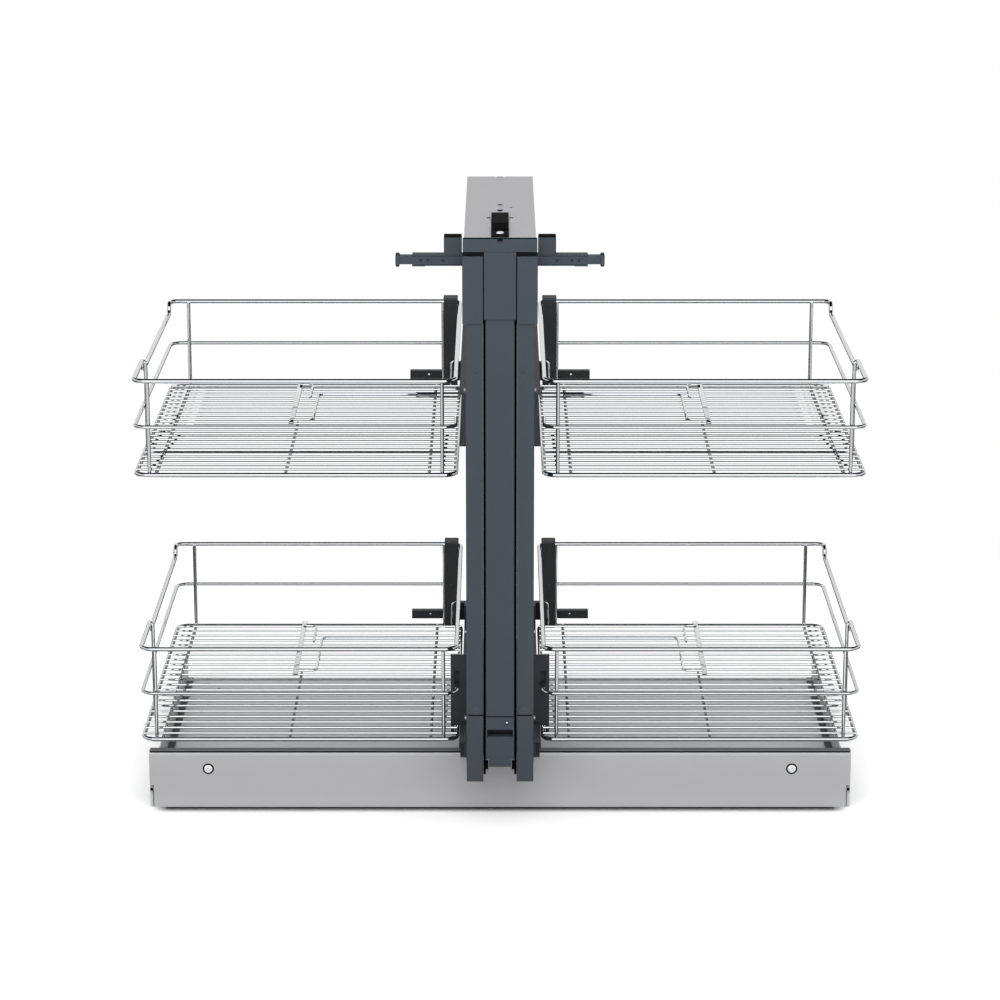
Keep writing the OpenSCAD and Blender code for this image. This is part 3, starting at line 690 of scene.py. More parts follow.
@dataclass
class Fasteners:
    """Screws with a turned head and a cross recess, and round rivets.

    Outlines go across in shares of the radius, and up in shares of the pan head's height or in the
    rivet's millimetres. The recess is given in shares of the head's radius and height, and the bit
    that cuts it stands bit_over above the head.
    """

    shop: Workshop
    pan_outline: Outline = (
        (0.0, 0.0), (0.97, 0.0), (1.0, 0.12), (0.98, 0.45),
        (0.88, 0.75), (0.66, 0.94), (0.3, 1.0), (0.0, 1.0),
    )
    rivet_outline: Outline = ((0.0, 0.0), (1.0, 0.0), (1.0, 0.25), (0.8, 0.6), (0.4, 0.8), (0.0, 0.8))
    wing_reach: float = 0.58
    wing_half: float = 0.14
    recess_floor: float = 0.4
    bit_over: float = 1.0

    def add_head(self, bm: Mesh, centre: Point, axis: Point, diameter: float, height: float) -> None:
        """Adds a pan head to a mesh, and cuts its recess with a bit that is like a plus sign in section.

        Args:
            bm: the mesh to add to.
            centre: the middle of the seat under the head.
            axis: the direction in which the head stands up.
            diameter: the head's diameter.
            height: the head's height.
        """
        r = diameter / 2
        blank = bmesh.new()
        turned(blank, [(r * across, height * up) for across, up in self.pan_outline], centre, axis, 32)
        reach, half = r * self.wing_reach, r * self.wing_half
        wing = [(half, half), (half, reach), (-half, reach), (-half, half), (-reach, half), (-reach, -half)]
        ring = wing + [(-x, -y) for x, y in wing]
        place = standing(centre, axis)
        bit = bmesh.new()
        low, high = (
            [bit.verts.new(place @ Vector((x * MM, y * MM, z * MM))) for x, y in ring]
            for z in (height * self.recess_floor, height + self.bit_over)
        )
        bit.faces.new(low)
        bit.faces.new(high)
        for here, after in zip(range(len(ring)), [*range(1, len(ring)), 0]):
            bit.faces.new((low[here], low[after], high[after], high[here]))
        bmesh.ops.recalc_face_normals(bit, faces=bit.faces)
        carve(blank, bit, bm)

    def rivets(
        self, node: str, suffix: str, finish: Finish, places: Iterable[Point], diameter: float
    ) -> None:
        """Sets low round heads that face the front.

        Args:
            node: the CAD node that they sit on.
            suffix: what the piece's name adds to the node's.
            finish: how their surface was made.
            places: the middles of their seats.
            diameter: their diameter.
        """
        outline = [(diameter / 2 * across, up) for across, up in self.rivet_outline]
        bm = bmesh.new()
        for place in places:
            turned(bm, outline, place, TO_FRONT, 20)
        self.shop.trim(node, suffix, finish, bm)


@dataclass
class Tray:
    """The folded floor tray with its front panel, strips and screws.

    The panel's trims are drawn from its front face.
    """

    shop: Workshop
    screws: Fasteners
    panel_front: float = -220.0
    screw_x: float = 346.0
    screw_z: float = 48.0
    seat_depth: float = 0.7
    head_d: float = 10.0
    head_h: float = 2.9
    # A black ring round each screw that paints the dimple's shade and reflection.
    washer: Outline = ((4.2, 0.0), (6.9, 0.0), (6.9, 0.6), (6.4, 1.0), (4.2, 1.0), (4.2, 0.0))
    # Black blocks of painted shade inside the slots at the panel's ends.
    slots: Blocks = (
        Block((412.0, -0.15, 20.4), (415.4, 0.4, 24.0), 0.1),
        Block((411.6, -0.15, 0.8), (412.2, 0.4, 20.6), 0.1),
    )
    # A grey band of painted reflection on the panel's folded top edge.
    edging: Block = Block((-414.6, 0.9, 69.8), (414.6, 11.6, 70.4), 0.2)
    # A black line of painted shade under the fold's grey band.
    edge_seam: Block = Block((-414.6, -0.12, 68.6), (414.6, 0.9, 69.8), 0.1)
    parts: Parts = (
        (("base_pan",), LIGHTENED_TRAY_SHEET, 0.35, 2),
        (("front_panel",), SILVER_COAT, 0.3, 2),
        (("edge_strips",), BLACK_MOULDING, 0.6, 2),
    )

    def build(self) -> None:
        """Makes the tray's pieces. The slots at the panel's ends get black blocks, which paint the shade
        inside them.
        """
        self.shop.rework(self.parts)
        self.build_screws()
        face = self.panel_front
        self.shop.blocks("front_panel", "slots", BLACK_RUBBER_AND_SHADE, self.slots, BOTH_SIDES, face)
        self.shop.blocks("front_panel", "edging", FOLD_REFLECTION_GREY, (self.edging,), face=face)
        self.shop.blocks("front_panel", "edge_seam", BLACK_RUBBER_AND_SHADE, (self.edge_seam,), face=face)

    def build_screws(self) -> None:
        """Sets the two pan head screws in the panel's dimples, each in a black ring of painted shade and
        reflection from its dimple.
        """
        heads, dimple_shade_rings = bmesh.new(), bmesh.new()
        for sign in BOTH_SIDES:
            seat = (sign * self.screw_x, self.panel_front + self.seat_depth, self.screw_z)
            turned(dimple_shade_rings, self.washer, seat, TO_FRONT, 32)
            self.screws.add_head(heads, seat, TO_FRONT, self.head_d, self.head_h)
        self.shop.finish("panel_screw_heads", heads, BRIGHT_SCREW, "root", ("panel_screws",))
        self.shop.finish("panel_screw_washers", dimple_shade_rings, BLACK_RUBBER_AND_SHADE, "root")


@dataclass
class Supports:
    """The cover, the beams and the channel that hold the runners, with the strap on top.

    Each hole shade, a black disc of painted shade in one of the channel's holes, is given by the place of
    its middle and by its diameter.
    """

    shop: Workshop
    screws: Fasteners
    # Black discs of painted shade in the channel's holes.
    plugs: tuple[Point, ...] = (
        (0, -94, 7.4), (0, -100, 4.4), (0, -57, 6.4), (13, -76, 3.4), (13, -144, 5.2), (-13, -144, 5.2)
    )
    plug_z: float = 694.8
    plug_h: float = 1.4
    notch: Block = Block((-4.2, 140.8, 694.6), (4.2, 144.6, 695.9), 0.2)
    # Black lines of painted shade and dark reflection on the cap's top edge and in its middle notch.
    cap_seal: Blocks = (
        Block((-41.6, -271.9, 695.0), (41.6, -268.2, 695.9), 0.2),
        Block((-2.8, -271.7, 692.2), (2.8, -270.9, 695.2), 0.1),
    )
    screw_at: Point = (0.0, -256.0, 698.5)
    head_d: float = 8.4
    head_h: float = 2.0
    parts: Parts = (
        (("lower_cover",), BLACK_MOULDING, 0.8, 2),
        (("lower_beam", "upper_beam"), DARK_COAT, 0.5, 2),
        (("upper_channel",), SILVER_COAT, 0.4, 2),
        (("channel_cap",), ANTHRACITE_COAT, 0.9, 3),
        (("channel_strap",), BLACK_RUBBER_AND_SHADE, 0.9, 3),
    )
    runners: Parts = ((("lower_fixed_runners", "upper_fixed_runners"), ZINC_STRIP, 0.3, 2),)

    def build(self) -> None:
        """Makes the fixed supports."""
        self.shop.rework(self.parts)
        self.build_plugs()
        self.shop.blocks("channel_cap", "seal", BLACK_RUBBER_AND_SHADE, self.cap_seal)
        head = bmesh.new()
        self.screws.add_head(head, self.screw_at, UP, self.head_d, self.head_h)
        self.shop.finish("strap_screw_head", head, BRIGHT_SCREW, "root", ("strap_screw",))
        self.shop.rework(self.runners)

    def build_plugs(self) -> None:
        """Closes the channel's holes and the notch at its rear from inside with black, which paints the
        shade in them.
        """
        bm = bmesh.new()
        for x, y, diameter in self.plugs:
            r = diameter / 2
            outline = [(0, 0), (r, 0), (r, self.plug_h), (0, self.plug_h)]
            turned(bm, outline, (x, y, self.plug_z), UP, 20)
        self.notch.add(bm)
        self.shop.trim("upper_channel", "plugs", BLACK_RUBBER_AND_SHADE, bm)


@dataclass
class Column:
    """The middle post with its sleeve and foot bracket, black strips of painted shade in the gaps beside the
    post, and black blocks of painted shade in the openings beside the sleeve.
    """

    shop: Workshop
    screws: Fasteners
    tip_at: Point = (8.0, -270.7, 123.0)
    tip_d: float = 2.4
    # A dark line of painted shade at the joint over the foot bracket.
    seam: Block = Block((-16.2, -270.2, 129.3), (16.2, -269.4, 130.5), 0.1)
    # Black strips of painted shade in the gaps beside the post.
    strips: Blocks = (
        Block((16.6, -247.8, 51.0), (19.4, -246.0, 674.5), 0.3),
        Block((13.8, -247.8, 57.0), (16.8, -246.0, 68.4), 0.3),
    )
    # Black blocks of painted shade in the openings under the cap beside the sleeve.
    skirt: Block = Block((18.8, -270.6, 675.6), (41.8, -268.2, 680.4), 0.3)
    parts: Parts = (
        (("middle_post",), ANTHRACITE_COAT, 0.3, 2),
        (("middle_sleeve",), ANTHRACITE_COAT, 0.9, 3),
        (("foot_bracket",), ANTHRACITE_COAT, 0.6, 2),
        (("foot_screw",), BLACK_MOULDING, 0.2, 2),
    )

    def build(self) -> None:
        """Makes the fixed middle of the column. The joint over the foot bracket gets a dark line of painted
        shade.
        """
        self.shop.rework(self.parts)
        self.screws.rivets("foot_screw", "tip", BRIGHT_SCREW, [self.tip_at], self.tip_d)
        self.shop.blocks("middle_post", "seam", BLACK_RUBBER_AND_SHADE, (self.seam,))
        self.shop.blocks("middle_post", "strips", BLACK_RUBBER_AND_SHADE, self.strips, BOTH_SIDES)
        self.shop.blocks("channel_cap", "skirts", BLACK_RUBBER_AND_SHADE, (self.skirt,), BOTH_SIDES)


@dataclass
class SideFrame:
    """One side's post, cross slide, rails, brackets, hangers and arms.

    Places are drawn for the right side. The bump and its painted shadow line are drawn from the post's front
    face, the painted shade on the front block's top and the hangers' cap from the lower and the upper corner
    of the top face of the node's box.
    """

    shop: Workshop
    screws: Fasteners
    side: Side
    post_front: float = -270.0
    bump_at: Point = (28.4, 0.4, 132.8)
    bump_radii: Point = (8.2, 2.35, 9.6)
    # A black strip of painted shadow under the bump.
    bump_slot: Block = Block((20.0, -0.25, 130.9), (36.8, 0.4, 132.8), 0.1)
    bracket_plate: Block = Block((43.5, -176.6, 138.0), (57.8, -175.0, 172.0), 0.2)
    rail_screw_x: float = 39.0
    rail_screw_y: float = -261.0
    rail_screw_z: tuple[float, ...] = (519.3, 231.0, 125.7)
    rail_screw_d: float = 5.6
    rail_screw_h: float = 2.4
    # Black on the front block's top: painted shade and dark reflection.
    plug: Block = Block((0.2, -0.15, -2.0), (-0.2, -0.6, 1.0), 0.5)
    hanger_cap: Block = Block((-0.5, -0.6, -3.4), (0.5, 0.4, 0.0), 1.0)
    cap_in: float = 0.4
    cap_soft: float = 0.9
    pin_shows: float = 2.2
    pin_r: float = 2.2
    pin_end_r: float = 1.5
    pin_chamfer: float = 0.5
    pin_forward: float = 3.0
    rivet_x: tuple[float, ...] = (63.0, 74.5, 89.5)
    rivet_in: float = 9.3
    rivet_d: float = 3.2
    hanger_screw_x: float = 64.0
    hanger_screw_in: float = 0.1
    hanger_screw_up: tuple[float, ...] = (108.0, 60.0)
    hanger_screw_d: float = 2.8
    parts: Parts = (
        (("post",), ANTHRACITE_COAT, 0.3, 2),
        (("sleeve", "runner_block"), ANTHRACITE_COAT, 0.9, 3),
        (("cross_rail",), ANTHRACITE_COAT, 0.4, 2),
        (("cross_slider",), ANTHRACITE_COAT, 0.5, 2),
        (("upper_runner", "lower_runner", "upper_runner_middle", "lower_runner_middle"), ZINC_STRIP, 0.3, 2),
        (("upper_rail", "lower_rail", "front_bracket"), DARK_COAT, 0.4, 2),
        (("upper_hanger", "lower_hanger", "support_arms"), BLACK_MOULDING, 0.8, 3),
    )

    def build(self) -> None:
        """Makes the side's rigid pieces. The plate closes the front bracket's slot from behind."""
        node, sign = self.side.node, self.side.sign
        self.shop.rework(self.parts, node(""))
        self.shop.blocks(node("front_bracket"), "plate", DARK_COAT, (self.bracket_plate,), (sign,))
        self.build_bump()
        self.build_post_screws()
        self.cover("runner_block", "plug", BLACK_RUBBER_AND_SHADE, self.plug)
        self.build_slider_end()
        self.build_slider_rivets()
        self.build_hanger_trim()

    def build_bump(self) -> None:
        """Presses the lens-shaped bump into the post, above the black strip that paints its shadow line."""
        bm = bmesh.new()
        x, y, z = self.bump_at
        centre = Vector((self.side.sign * x, self.post_front + y, z)) * MM
        radii = Matrix.Diagonal((*(r * MM for r in self.bump_radii), 1.0))
        place = Matrix.Translation(centre) @ radii
        bmesh.ops.create_uvsphere(bm, u_segments=32, v_segments=20, radius=1.0, matrix=place)
        whole = bm.verts[:] + bm.edges[:] + bm.faces[:]
        cut = bmesh.ops.bisect_plane(bm, geom=whole, plane_co=centre, plane_no=UP, clear_inner=True)
        rim = [g for g in cut["geom_cut"] if isinstance(g, bmesh.types.BMEdge)]
        bmesh.ops.contextual_create(bm, geom=rim)
        node = self.side.node("post")
        self.shop.trim(node, "bump", ANTHRACITE_COAT, bm)
        slot = (self.bump_slot,)
        self.shop.blocks(node, "bump_slot", BLACK_RUBBER_AND_SHADE, slot, (self.side.sign,), self.post_front)

    def build_post_screws(self) -> None:
        """Sets the three pan heads that hold the rails, on the post's outer face."""
        bm = bmesh.new()
        sign = self.side.sign
        for z in self.rail_screw_z:
            seat = (sign * self.rail_screw_x, self.rail_screw_y, z)
            self.screws.add_head(bm, seat, (float(sign), 0.0, 0.0), self.rail_screw_d, self.rail_screw_h)
        self.shop.trim(self.side.node("post"), "screw_heads", ZINC_STRIP, bm)

    def cover(self, name: str, suffix: str, finish: Finish, block: Block) -> None:
        """Covers the top of a node, such as the front block's with black that paints the shade and dark
        reflection on its top.

        Args:
            name: the node's plain name.
            suffix: what the piece's name adds to the node's.
            finish: how its surface was made.
            block: the cover, drawn from the corners of the top face.
        """
        node = self.side.node(name)
        low, high = limits(node)
        (dx, dy, dz), (ex, ey, ez) = block.low, block.high
        foot, top = (low.x + dx, low.y + dy, high.z + dz), (high.x + ex, high.y + ey, high.z + ez)
        self.shop.blocks(node, suffix, finish, (Block(foot, top, block.soft),))

    def build_slider_end(self) -> None:
        """Shapes the slider's end cap, with a stop pin through it that shows above and below."""
        node = self.side.node("slider_cap")
        low, high = limits(node)
        middle = (low + high) / 2
        bm = bmesh.new()
        foot = (low.x, low.y + self.cap_in, low.z + self.pin_shows)
        box(bm, foot, (high.x, high.y - self.cap_in, high.z - self.pin_shows), self.cap_soft)
        self.shop.finish(f"{node}_part", bm, ANTHRACITE_COAT, self.shop.body(node), (node,))
        bm = bmesh.new()
        length = high.z - low.z
        r, end_r, cut = self.pin_r, self.pin_end_r, self.pin_chamfer
        outline = [(0, 0), (end_r, 0), (r, cut), (r, length - cut), (end_r, length), (0, length)]
        turned(bm, outline, (middle.x, middle.y - self.pin_forward, low.z), UP, 20)
        self.shop.trim(node, "pin", BLACK_MOULDING, bm)

    def build_slider_rivets(self) -> None:
        """Sets the rivets in the cross slider's front face."""
        node = self.side.node("cross_slider")
        low, high = limits(node)
        level = (low.z + high.z) / 2
        places = [(self.side.sign * x, low.y + self.rivet_in, level) for x in self.rivet_x]
        self.screws.rivets(node, "rivets", BRIGHT_SCREW, places, self.rivet_d)

    def build_hanger_trim(self) -> None:
        """Caps both hangers and sets their small screws."""
        x = self.side.sign * self.hanger_screw_x
        for level in Level:
            name = f"{level.word}_hanger"
            self.cover(name, "cap", ANTHRACITE_COAT, self.hanger_cap)
            node = self.side.node(name)
            y = limits(node)[0].y + self.hanger_screw_in
            places = [(x, y, level.value + up) for up in self.hanger_screw_up]
            self.screws.rivets(node, "screws", DARK_COAT, places, self.hanger_screw_d)


@dataclass
class Basket:
    """A basket of bent and welded wire, chrome plated as a whole.

    Heights count from the bottom wire, other places from the basket's four outer wires. The uprights at
    the front and at the rear stand in from the inner wire, and then from the outer one.
    """

    shop: Workshop
    side: Side
    level: Level
    inner_x: float = 51.2
    outer_x: float = 422.3
    front: float = -220.0
    rear: float = 236.0
    height: float = 111.5
    middle: float = 57.0
    drop: float = 12.0
    step_front: float = 112.0
    step_rear: float = 18.0
    step_run: float = 1.0
    rim_d: float = 5.4
    rail_d: float = 4.4
    mat_d: float = 3.0
    under_d: float = 4.0
    hook_d: float = 2.8
    corner: float = 14.0
    rail_front: float = -172.0
    rail_end: float = 23.4
    weld: float = 0.8
    front_in: Pair = (15.6, 16.0)
    rear_in: Pair = (21.6, 23.5)
    rear_bend: float = 5.0
    side_from_front: float = 103.0
    side_over: float = 0.3
    side_top: float = 0.7
    side_down: float = 3.6
    side_under: float = 3.4
    side_bend: float = 4.0
    off_centre: float = 12.0
    centre_run: float = 250.0
    inner_run: float = 31.0
    hook_at: Pair = (11.4, 16.6)
    hook: tuple[Point, ...] = ((0.6, 6, 3), (0.6, 0, 8), (-0.2, 0, 36), (-6, 1, 38))
    hook_bend: float = 4.5
    rows: int = 22
    first_row: float = 9.9
    row_step: float = 20.4
    mat_gap: float = 0.05
    mat_weld: float = 0.4
    mat_rear: float = 0.3
    mat_bend: float = 6.0
    strip_x: Pair = (4.0, 10.4)
    strip_from: float = 230.0
    strip_z: Pair = (1.1, 3.1)

    @property
    def centre(self) -> float:
        """Where the middle wire under the floor runs, along X."""
        return (self.inner_x + self.outer_x) / 2 + self.off_centre

    def build(self) -> None:
        """Bends the frame and the floor mat."""
        self.build_frame()
        self.build_floor()

    def build_frame(self) -> None:
        """Bends the three rails, the uprights, the wires under the floor and the hook for the hanger."""
        z = self.level.value
        top, mid = z + self.height, z + self.middle
        low = top - self.drop
        x0, x1, front, rear = self.inner_x, self.outer_x, self.front, self.rear
        fall, rise = front + self.step_front, rear - self.step_rear
        rim = [
            (x0, front, top),
            (x1, front, top),
            (x1, fall, top),
            (x1, fall + self.step_run, low),
            (x1, rise - self.step_run, low),
            (x1, rise, top),
            (x1, rear, top),
            (x0, rear, top),
        ]
        base = [(x0, front, z), (x1, front, z), (x1, rear, z), (x0, rear, z)]
        rail = [(x0, self.rail_front, mid), (x0, front, mid), (x1, front, mid), (x1, rear, mid)]
        rail.append((x0 + self.rail_end, rear, mid))
        wires = Wires(self.side.sign)
        wires.bend(rim, self.rim_d, self.corner, closed=True)
        wires.bend(base, self.rim_d, self.corner, closed=True)
        wires.bend(rail, self.rail_d, self.corner)
        self.add_struts(wires, z, top)
        x, y = x0 + self.hook_at[0], rear - self.hook_at[1]
        wires.bend([(x + dx, y + dy, z + dz) for dx, dy, dz in self.hook], self.hook_d, self.hook_bend)
        self.plate("frame", wires.mesh("basket_frame"))

    def add_struts(self, wires: Wires, z: float, top: float) -> None:
        """Bends the uprights, one of which runs on under the floor, and the long wires under the floor.

        Args:
            wires: the wires to add to.
            z: height of the bottom wire.
            top: height of the top wire.
        """
        x0, x1, front, rear = self.inner_x, self.outer_x, self.front, self.rear
        seat = self.rim_d / 2 + self.rail_d / 2 - self.weld
        under = z + self.rim_d / 2 - self.under_d / 2
        for x in (x1 - self.front_in[1], x0 + self.front_in[0]):
            wires.bend([(x, front + seat, z), (x, front + seat, top)], self.rail_d)
        x = x1 - self.rear_in[1]
        long = [(x, rear - seat, top - 0.5), (x, rear - seat, under), (x, front, under)]
        wires.bend(long, self.rail_d, self.rear_bend)
        x = x0 + self.rear_in[0]
        wires.bend([(x, rear - seat, z), (x, rear - seat, top)], self.rail_d)
        y = front + self.side_from_front
        over = top + self.rim_d / 2 + self.side_top - self.side_down
        below = z - self.side_under
        out = x1 + self.side_over
        hoop = [(out, y, over), (x1 - seat, y, over), (x1 - seat, y, below), (out, y, below)]
        wires.bend(hoop, self.rail_d, self.side_bend)
        x = self.centre
        wires.bend([(x, front, under), (x, front + self.centre_run, under)], self.under_d)
        x = x0 + self.inner_run
        wires.bend([(x, front, under), (x, rear, under)], self.under_d)

    def build_floor(self) -> None:
        """Lays the floor wires, the flat strip and the two bent wires."""
        z = self.level.value + self.rim_d / 2 + self.mat_d / 2 + self.mat_gap
        wires = Wires(self.side.sign)
        for row in range(self.rows):
            y = self.front + self.first_row + row * self.row_step
            wires.bend([(self.inner_x, y, z), (self.outer_x, y, z)], self.mat_d)
        centre = self.centre
        over = z + self.mat_d - self.mat_weld
        rear = self.rear - self.rim_d / 2 - self.mat_rear
        loop = [(centre + 7, self.front + 243), (centre - 19, self.front + 243), (centre - 19, rear - 74)]
        loop.append((self.inner_x + self.inner_run, rear - 74))
        angle = [(centre + 8, rear - 20), (centre - 9, rear - 20), (centre - 9, rear - 90)]
        for route in (loop, angle):
            wires.bend([(x, y, over) for x, y in route], self.mat_d, self.mat_bend)
        bm = wires.mesh("basket_floor", 2)
        (x_low, x_high), (z_low, z_high) = self.strip_x, self.strip_z
        low = (centre + x_low, self.front + self.strip_from, z + z_low)
        Block(low, (centre + x_high, rear, z + z_high), 0.7).add(bm, self.side.sign)
        self.plate("floor", bm)

    def plate(self, word: str, bm: Mesh) -> None:
        """Plates one welded part of the basket, in its CAD node's place."""
        node = self.side.node(f"{self.level.word}_basket_{word}")
        self.shop.finish(f"{node}_wires", bm, CHROME_WIRE, self.shop.body(node), (node,), False)


# The studio


@dataclass(frozen=True)
class Lamp:
    """A soft box, with its middle, the point that it faces and its size."""

    name: str
    place: Point
    aim: Point
    width: float
    height: float
    watts: float

    def hang(self) -> None:
        """Hangs the lamp, which mirroring surfaces don't see."""
        data = bpy.data.lights.new(self.name, "AREA")
        data.shape = "RECTANGLE"
        data.size, data.size_y = self.width * MM, self.height * MM
        data.energy = self.watts
        lamp = placed(self.name, data)
        lamp.location = Vector(self.place) * MM
        lamp.rotation_euler = (Vector(self.aim) - Vector(self.place)).to_track_quat("-Z", "Y").to_euler()
        lamp.visible_glossy = False


@dataclass(frozen=True)
class Card:
    """A card that only mirroring surfaces see, with its two corners.

    Its shade goes from 0 for black over 1 for white to a light's glow.
    """

    name: str
    low: Point
    high: Point
    shade: float

    def stand(self) -> None:
        """Stands the card in the studio."""
        bm = bmesh.new()
        box(bm, self.low, self.high)
        card = placed(self.name, meshed(self.name, bm))
        material = blank_material(f"{self.name}_cloth")
        tree = material.node_tree
        plain = add_node(tree, "ShaderNodeEmission", {"Color": WHITE, "Strength": self.shade})
        add_node(tree, "ShaderNodeOutputMaterial", None, {"Surface": plain.outputs[0]})
        card.data.materials.append(material)
        for way in ("camera", "diffuse", "shadow", "transmission"):
            setattr(card, f"visible_{way}", False)
        card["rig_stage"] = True


@dataclass(frozen=True)
class Contact:
    """A shadow on the floor close to the unit, with its reach.

    It starts where the floor is open to the share open_to and is darkest, at depth, from open_from down.
    """

    reach: float
    open_from: float
    open_to: float
    depth: float
    fades: bool


@dataclass
class Studio:
    """The camera that matches the photograph, the pale floor, the soft lamps and the cards."""

    lens_mm: float = 120.75
    sensor_mm: float = 36.0
    eye: Point = (0.0, -3980.6, 1385.7)
    pitch: float = 15.0
    floor_half: float = 12000.0
    floor_colour: str = "#e4e4e4"
    floor_glow: float = 0.46
    fade_from: float = 700.0
    fade_to: float = 1200.0
    tray_from: float = 395.0
    tray_to: float = 414.0
    room_light: float = 0.5
    contacts: tuple[Contact, ...] = (
        Contact(27.0, 0.71, 0.86, 0.97, True),
        Contact(120.0, 0.3, 1.0, 0.3, False),
    )
    lamps: tuple[Lamp, ...] = (
        Lamp("key", (0, -2050, 2500), (0, 0, 250), 3200, 1700, 52),
        Lamp("fill_left", (-2300, -2000, 700), (0, 0, 150), 1000, 1200, 15),
        Lamp("fill_right", (2300, -2000, 700), (0, 0, 150), 1000, 1200, 15),
        Lamp("rear", (0, 2600, 1700), (0, 0, 300), 2600, 900, 16),
    )
    cards: tuple[Card, ...] = (
        Card("flag_overhead", (-2600, -1500, 2000), (2600, 2300, 2010), 0.0),
        Card("flag_floor_rear", (-2600, 500, 1), (2600, 5000, 2), 0.05),
        Card("flag_rear", (-2600, 2300, 1600), (2600, 2310, 2010), 0.0),
        Card("flag_floor_front", (-700, -470, 1), (700, -250, 2), 0.05),
        Card("flag_floor_left", (-2600, -600, 1), (-700, 490, 2), 0.08),
        Card("flag_floor_right", (700, -600, 1), (2600, 490, 2), 0.08),
        Card("panel_front", (-1700, -2310, 350), (1700, -2300, 2250), 2.1),
    )

    def build(self) -> None:
        """Sets up the camera, the floor, the background, the lamps and the cards."""
        self.build_camera()
        self.build_floor()
        self.build_world()
        for lamp in self.lamps:
            lamp.hang()
        for card in self.cards:
            card.stand()

    def build_camera(self) -> None:
        """Places the camera where the photograph was taken."""
        data = bpy.data.cameras.new("camera")
        data.lens = self.lens_mm
        data.sensor_width = self.sensor_mm
        data.clip_start, data.clip_end = 0.1, 100.0
        camera = placed("camera", data)
        camera.location = Vector(self.eye) * MM
        camera.rotation_euler = (math.radians(90 - self.pitch), 0.0, 0.0)
        bpy.context.scene.camera = camera

    def build_floor(self) -> None:
        """Lays a pale floor that keeps the unit's shadow and fades to white far from it."""
        bm = bmesh.new()
        bmesh.ops.create_grid(bm, x_segments=1, y_segments=1, size=self.floor_half * MM)
        floor = placed("floor", meshed("floor", bm))
        material = blank_material("pale_studio_floor")
        tree = material.node_tree
        paint = add_node(tree, "ShaderNodeBsdfDiffuse", {"Color": linear(self.floor_colour)})
        glow = add_node(tree, "ShaderNodeEmission", {"Color": WHITE, "Strength": self.floor_glow})
        lit = add_node(tree, "ShaderNodeAddShader", None, {0: paint.outputs[0], 1: glow.outputs[0]})
        white = add_node(tree, "ShaderNodeEmission", {"Color": WHITE, "Strength": 1.0})
        place = add_node(tree, "ShaderNodeTexCoord").outputs["Object"]
        away = add_node(tree, "ShaderNodeVectorMath", {"operation": "LENGTH"}, {0: place})
        fade = add_node(
            tree,
            "ShaderNodeMapRange",
            {
                "interpolation_type": "SMOOTHSTEP",
                "From Min": self.fade_from * MM,
                "From Max": self.fade_to * MM,
            },
            {"Value": away.outputs["Value"]},
        )
        mix = {0: fade.outputs["Result"], 1: lit.outputs[0], 2: white.outputs[0]}
        surface = add_node(tree, "ShaderNodeMixShader", None, mix).outputs[0]
        split = add_node(tree, "ShaderNodeSeparateXYZ", None, {0: place})
        aside = add_node(tree, "ShaderNodeMath", {"operation": "ABSOLUTE"}, {0: split.outputs["X"]})
        tray = add_node(
            tree,
            "ShaderNodeMapRange",
            {"From Min": self.tray_from * MM, "From Max": self.tray_to * MM, "To Min": 1.0, "To Max": 0.0},
            {"Value": aside.outputs[0]},
        )
        for contact in self.contacts:
            surface = self.darken(tree, surface, contact, tray.outputs["Result"])
        mix = {0: in_sight(tree), 1: paint.outputs[0], 2: surface}
        both = add_node(tree, "ShaderNodeMixShader", None, mix)
        add_node(tree, "ShaderNodeOutputMaterial", None, {"Surface": both.outputs[0]})
        floor.data.materials.append(material)
        floor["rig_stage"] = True

    def darken(self, tree: bpy.types.NodeTree, surface: Socket, contact: Contact, tray: Socket) -> Socket:
        """Lays one contact shadow over the floor.

        Args:
            tree: the floor's node tree.
            surface: the floor's shader so far.
            contact: the shadow.
            tray: 1 along the tray, falling to 0 at its ends, for a shadow that fades there.

        Returns:
            The floor's shader with the shadow.
        """
        near = {"samples": 12, "Distance": contact.reach * MM}
        openness = add_node(tree, "ShaderNodeAmbientOcclusion", near)
        ramp = {
            "From Min": contact.open_from,
            "From Max": contact.open_to,
            "To Min": contact.depth,
            "To Max": 0.0,
        }
        share = add_node(tree, "ShaderNodeMapRange", ramp, {"Value": openness.outputs["AO"]})
        dark = share.outputs["Result"]
        if contact.fades:
            both = {0: dark, 1: tray}
            dark = add_node(tree, "ShaderNodeMath", {"operation": "MULTIPLY"}, both).outputs[0]
        black = add_node(tree, "ShaderNodeBsdfDiffuse", {"Color": (0.0, 0.0, 0.0, 1.0)})
        mix = {0: dark, 1: surface, 2: black.outputs[0]}
        return add_node(tree, "ShaderNodeMixShader", None, mix).outputs[0]

    def build_world(self) -> None:
        """Makes the surroundings white to the eye and in reflections, and softer as a light."""
        world = bpy.data.worlds.new("studio")
        bpy.context.scene.world = world
        world.use_nodes = True
        tree = world.node_tree
        tree.nodes.clear()
        soft = add_node(tree, "ShaderNodeBackground", {"Color": WHITE, "Strength": self.room_light})
        white = add_node(tree, "ShaderNodeBackground", {"Color": WHITE, "Strength": 1.0})
        mix = {0: in_sight(tree), 1: soft.outputs[0], 2: white.outputs[0]}
        both = add_node(tree, "ShaderNodeMixShader", None, mix)
        add_node(tree, "ShaderNodeOutputWorld", None, {"Surface": both.outputs[0]})


def corners(bounds: tuple[Vector, Vector]) -> list[list[float]]:
    """Turns a box's two corners into plain lists of numbers."""
    return [[float(c) for c in corner] for corner in bounds]


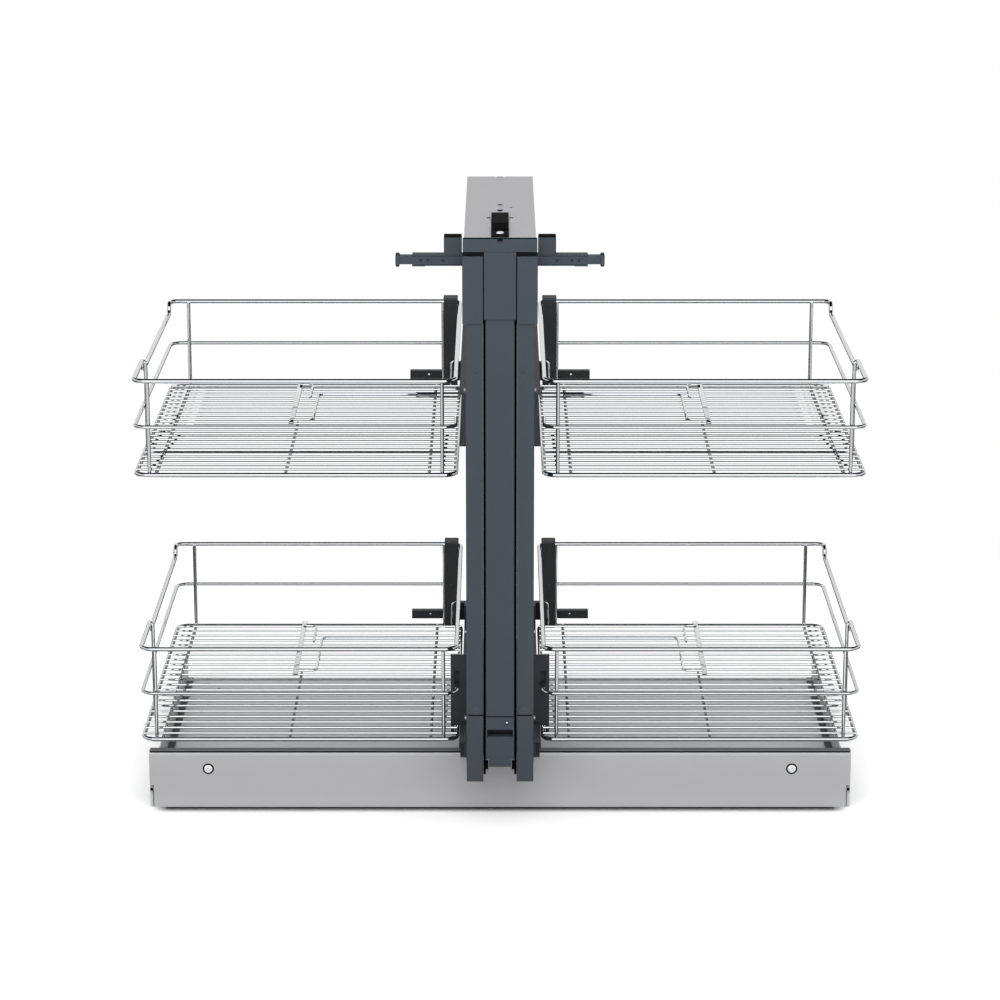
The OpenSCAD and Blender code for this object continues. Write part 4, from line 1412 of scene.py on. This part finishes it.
def main() -> None:
    """Builds the unit from the floor up, then the studio."""
    logging.basicConfig(level=logging.INFO, format="%(message)s")
    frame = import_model()
    cad_box = corners(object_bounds())
    bpy.context.scene.view_settings.view_transform = "Standard"
    shop = Workshop(frame)
    screws = Fasteners(shop)
    Tray(shop, screws).build()
    Supports(shop, screws).build()
    Column(shop, screws).build()
    for side in Side:
        SideFrame(shop, screws, side).build()
        for level in Level:
            Basket(shop, side, level).build()
    Studio().build()
    log.info("pieces made: %d", shop.pieces)
    {"cad": cad_box, "visual": corners(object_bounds())}


if __name__ == "__main__":
    main()
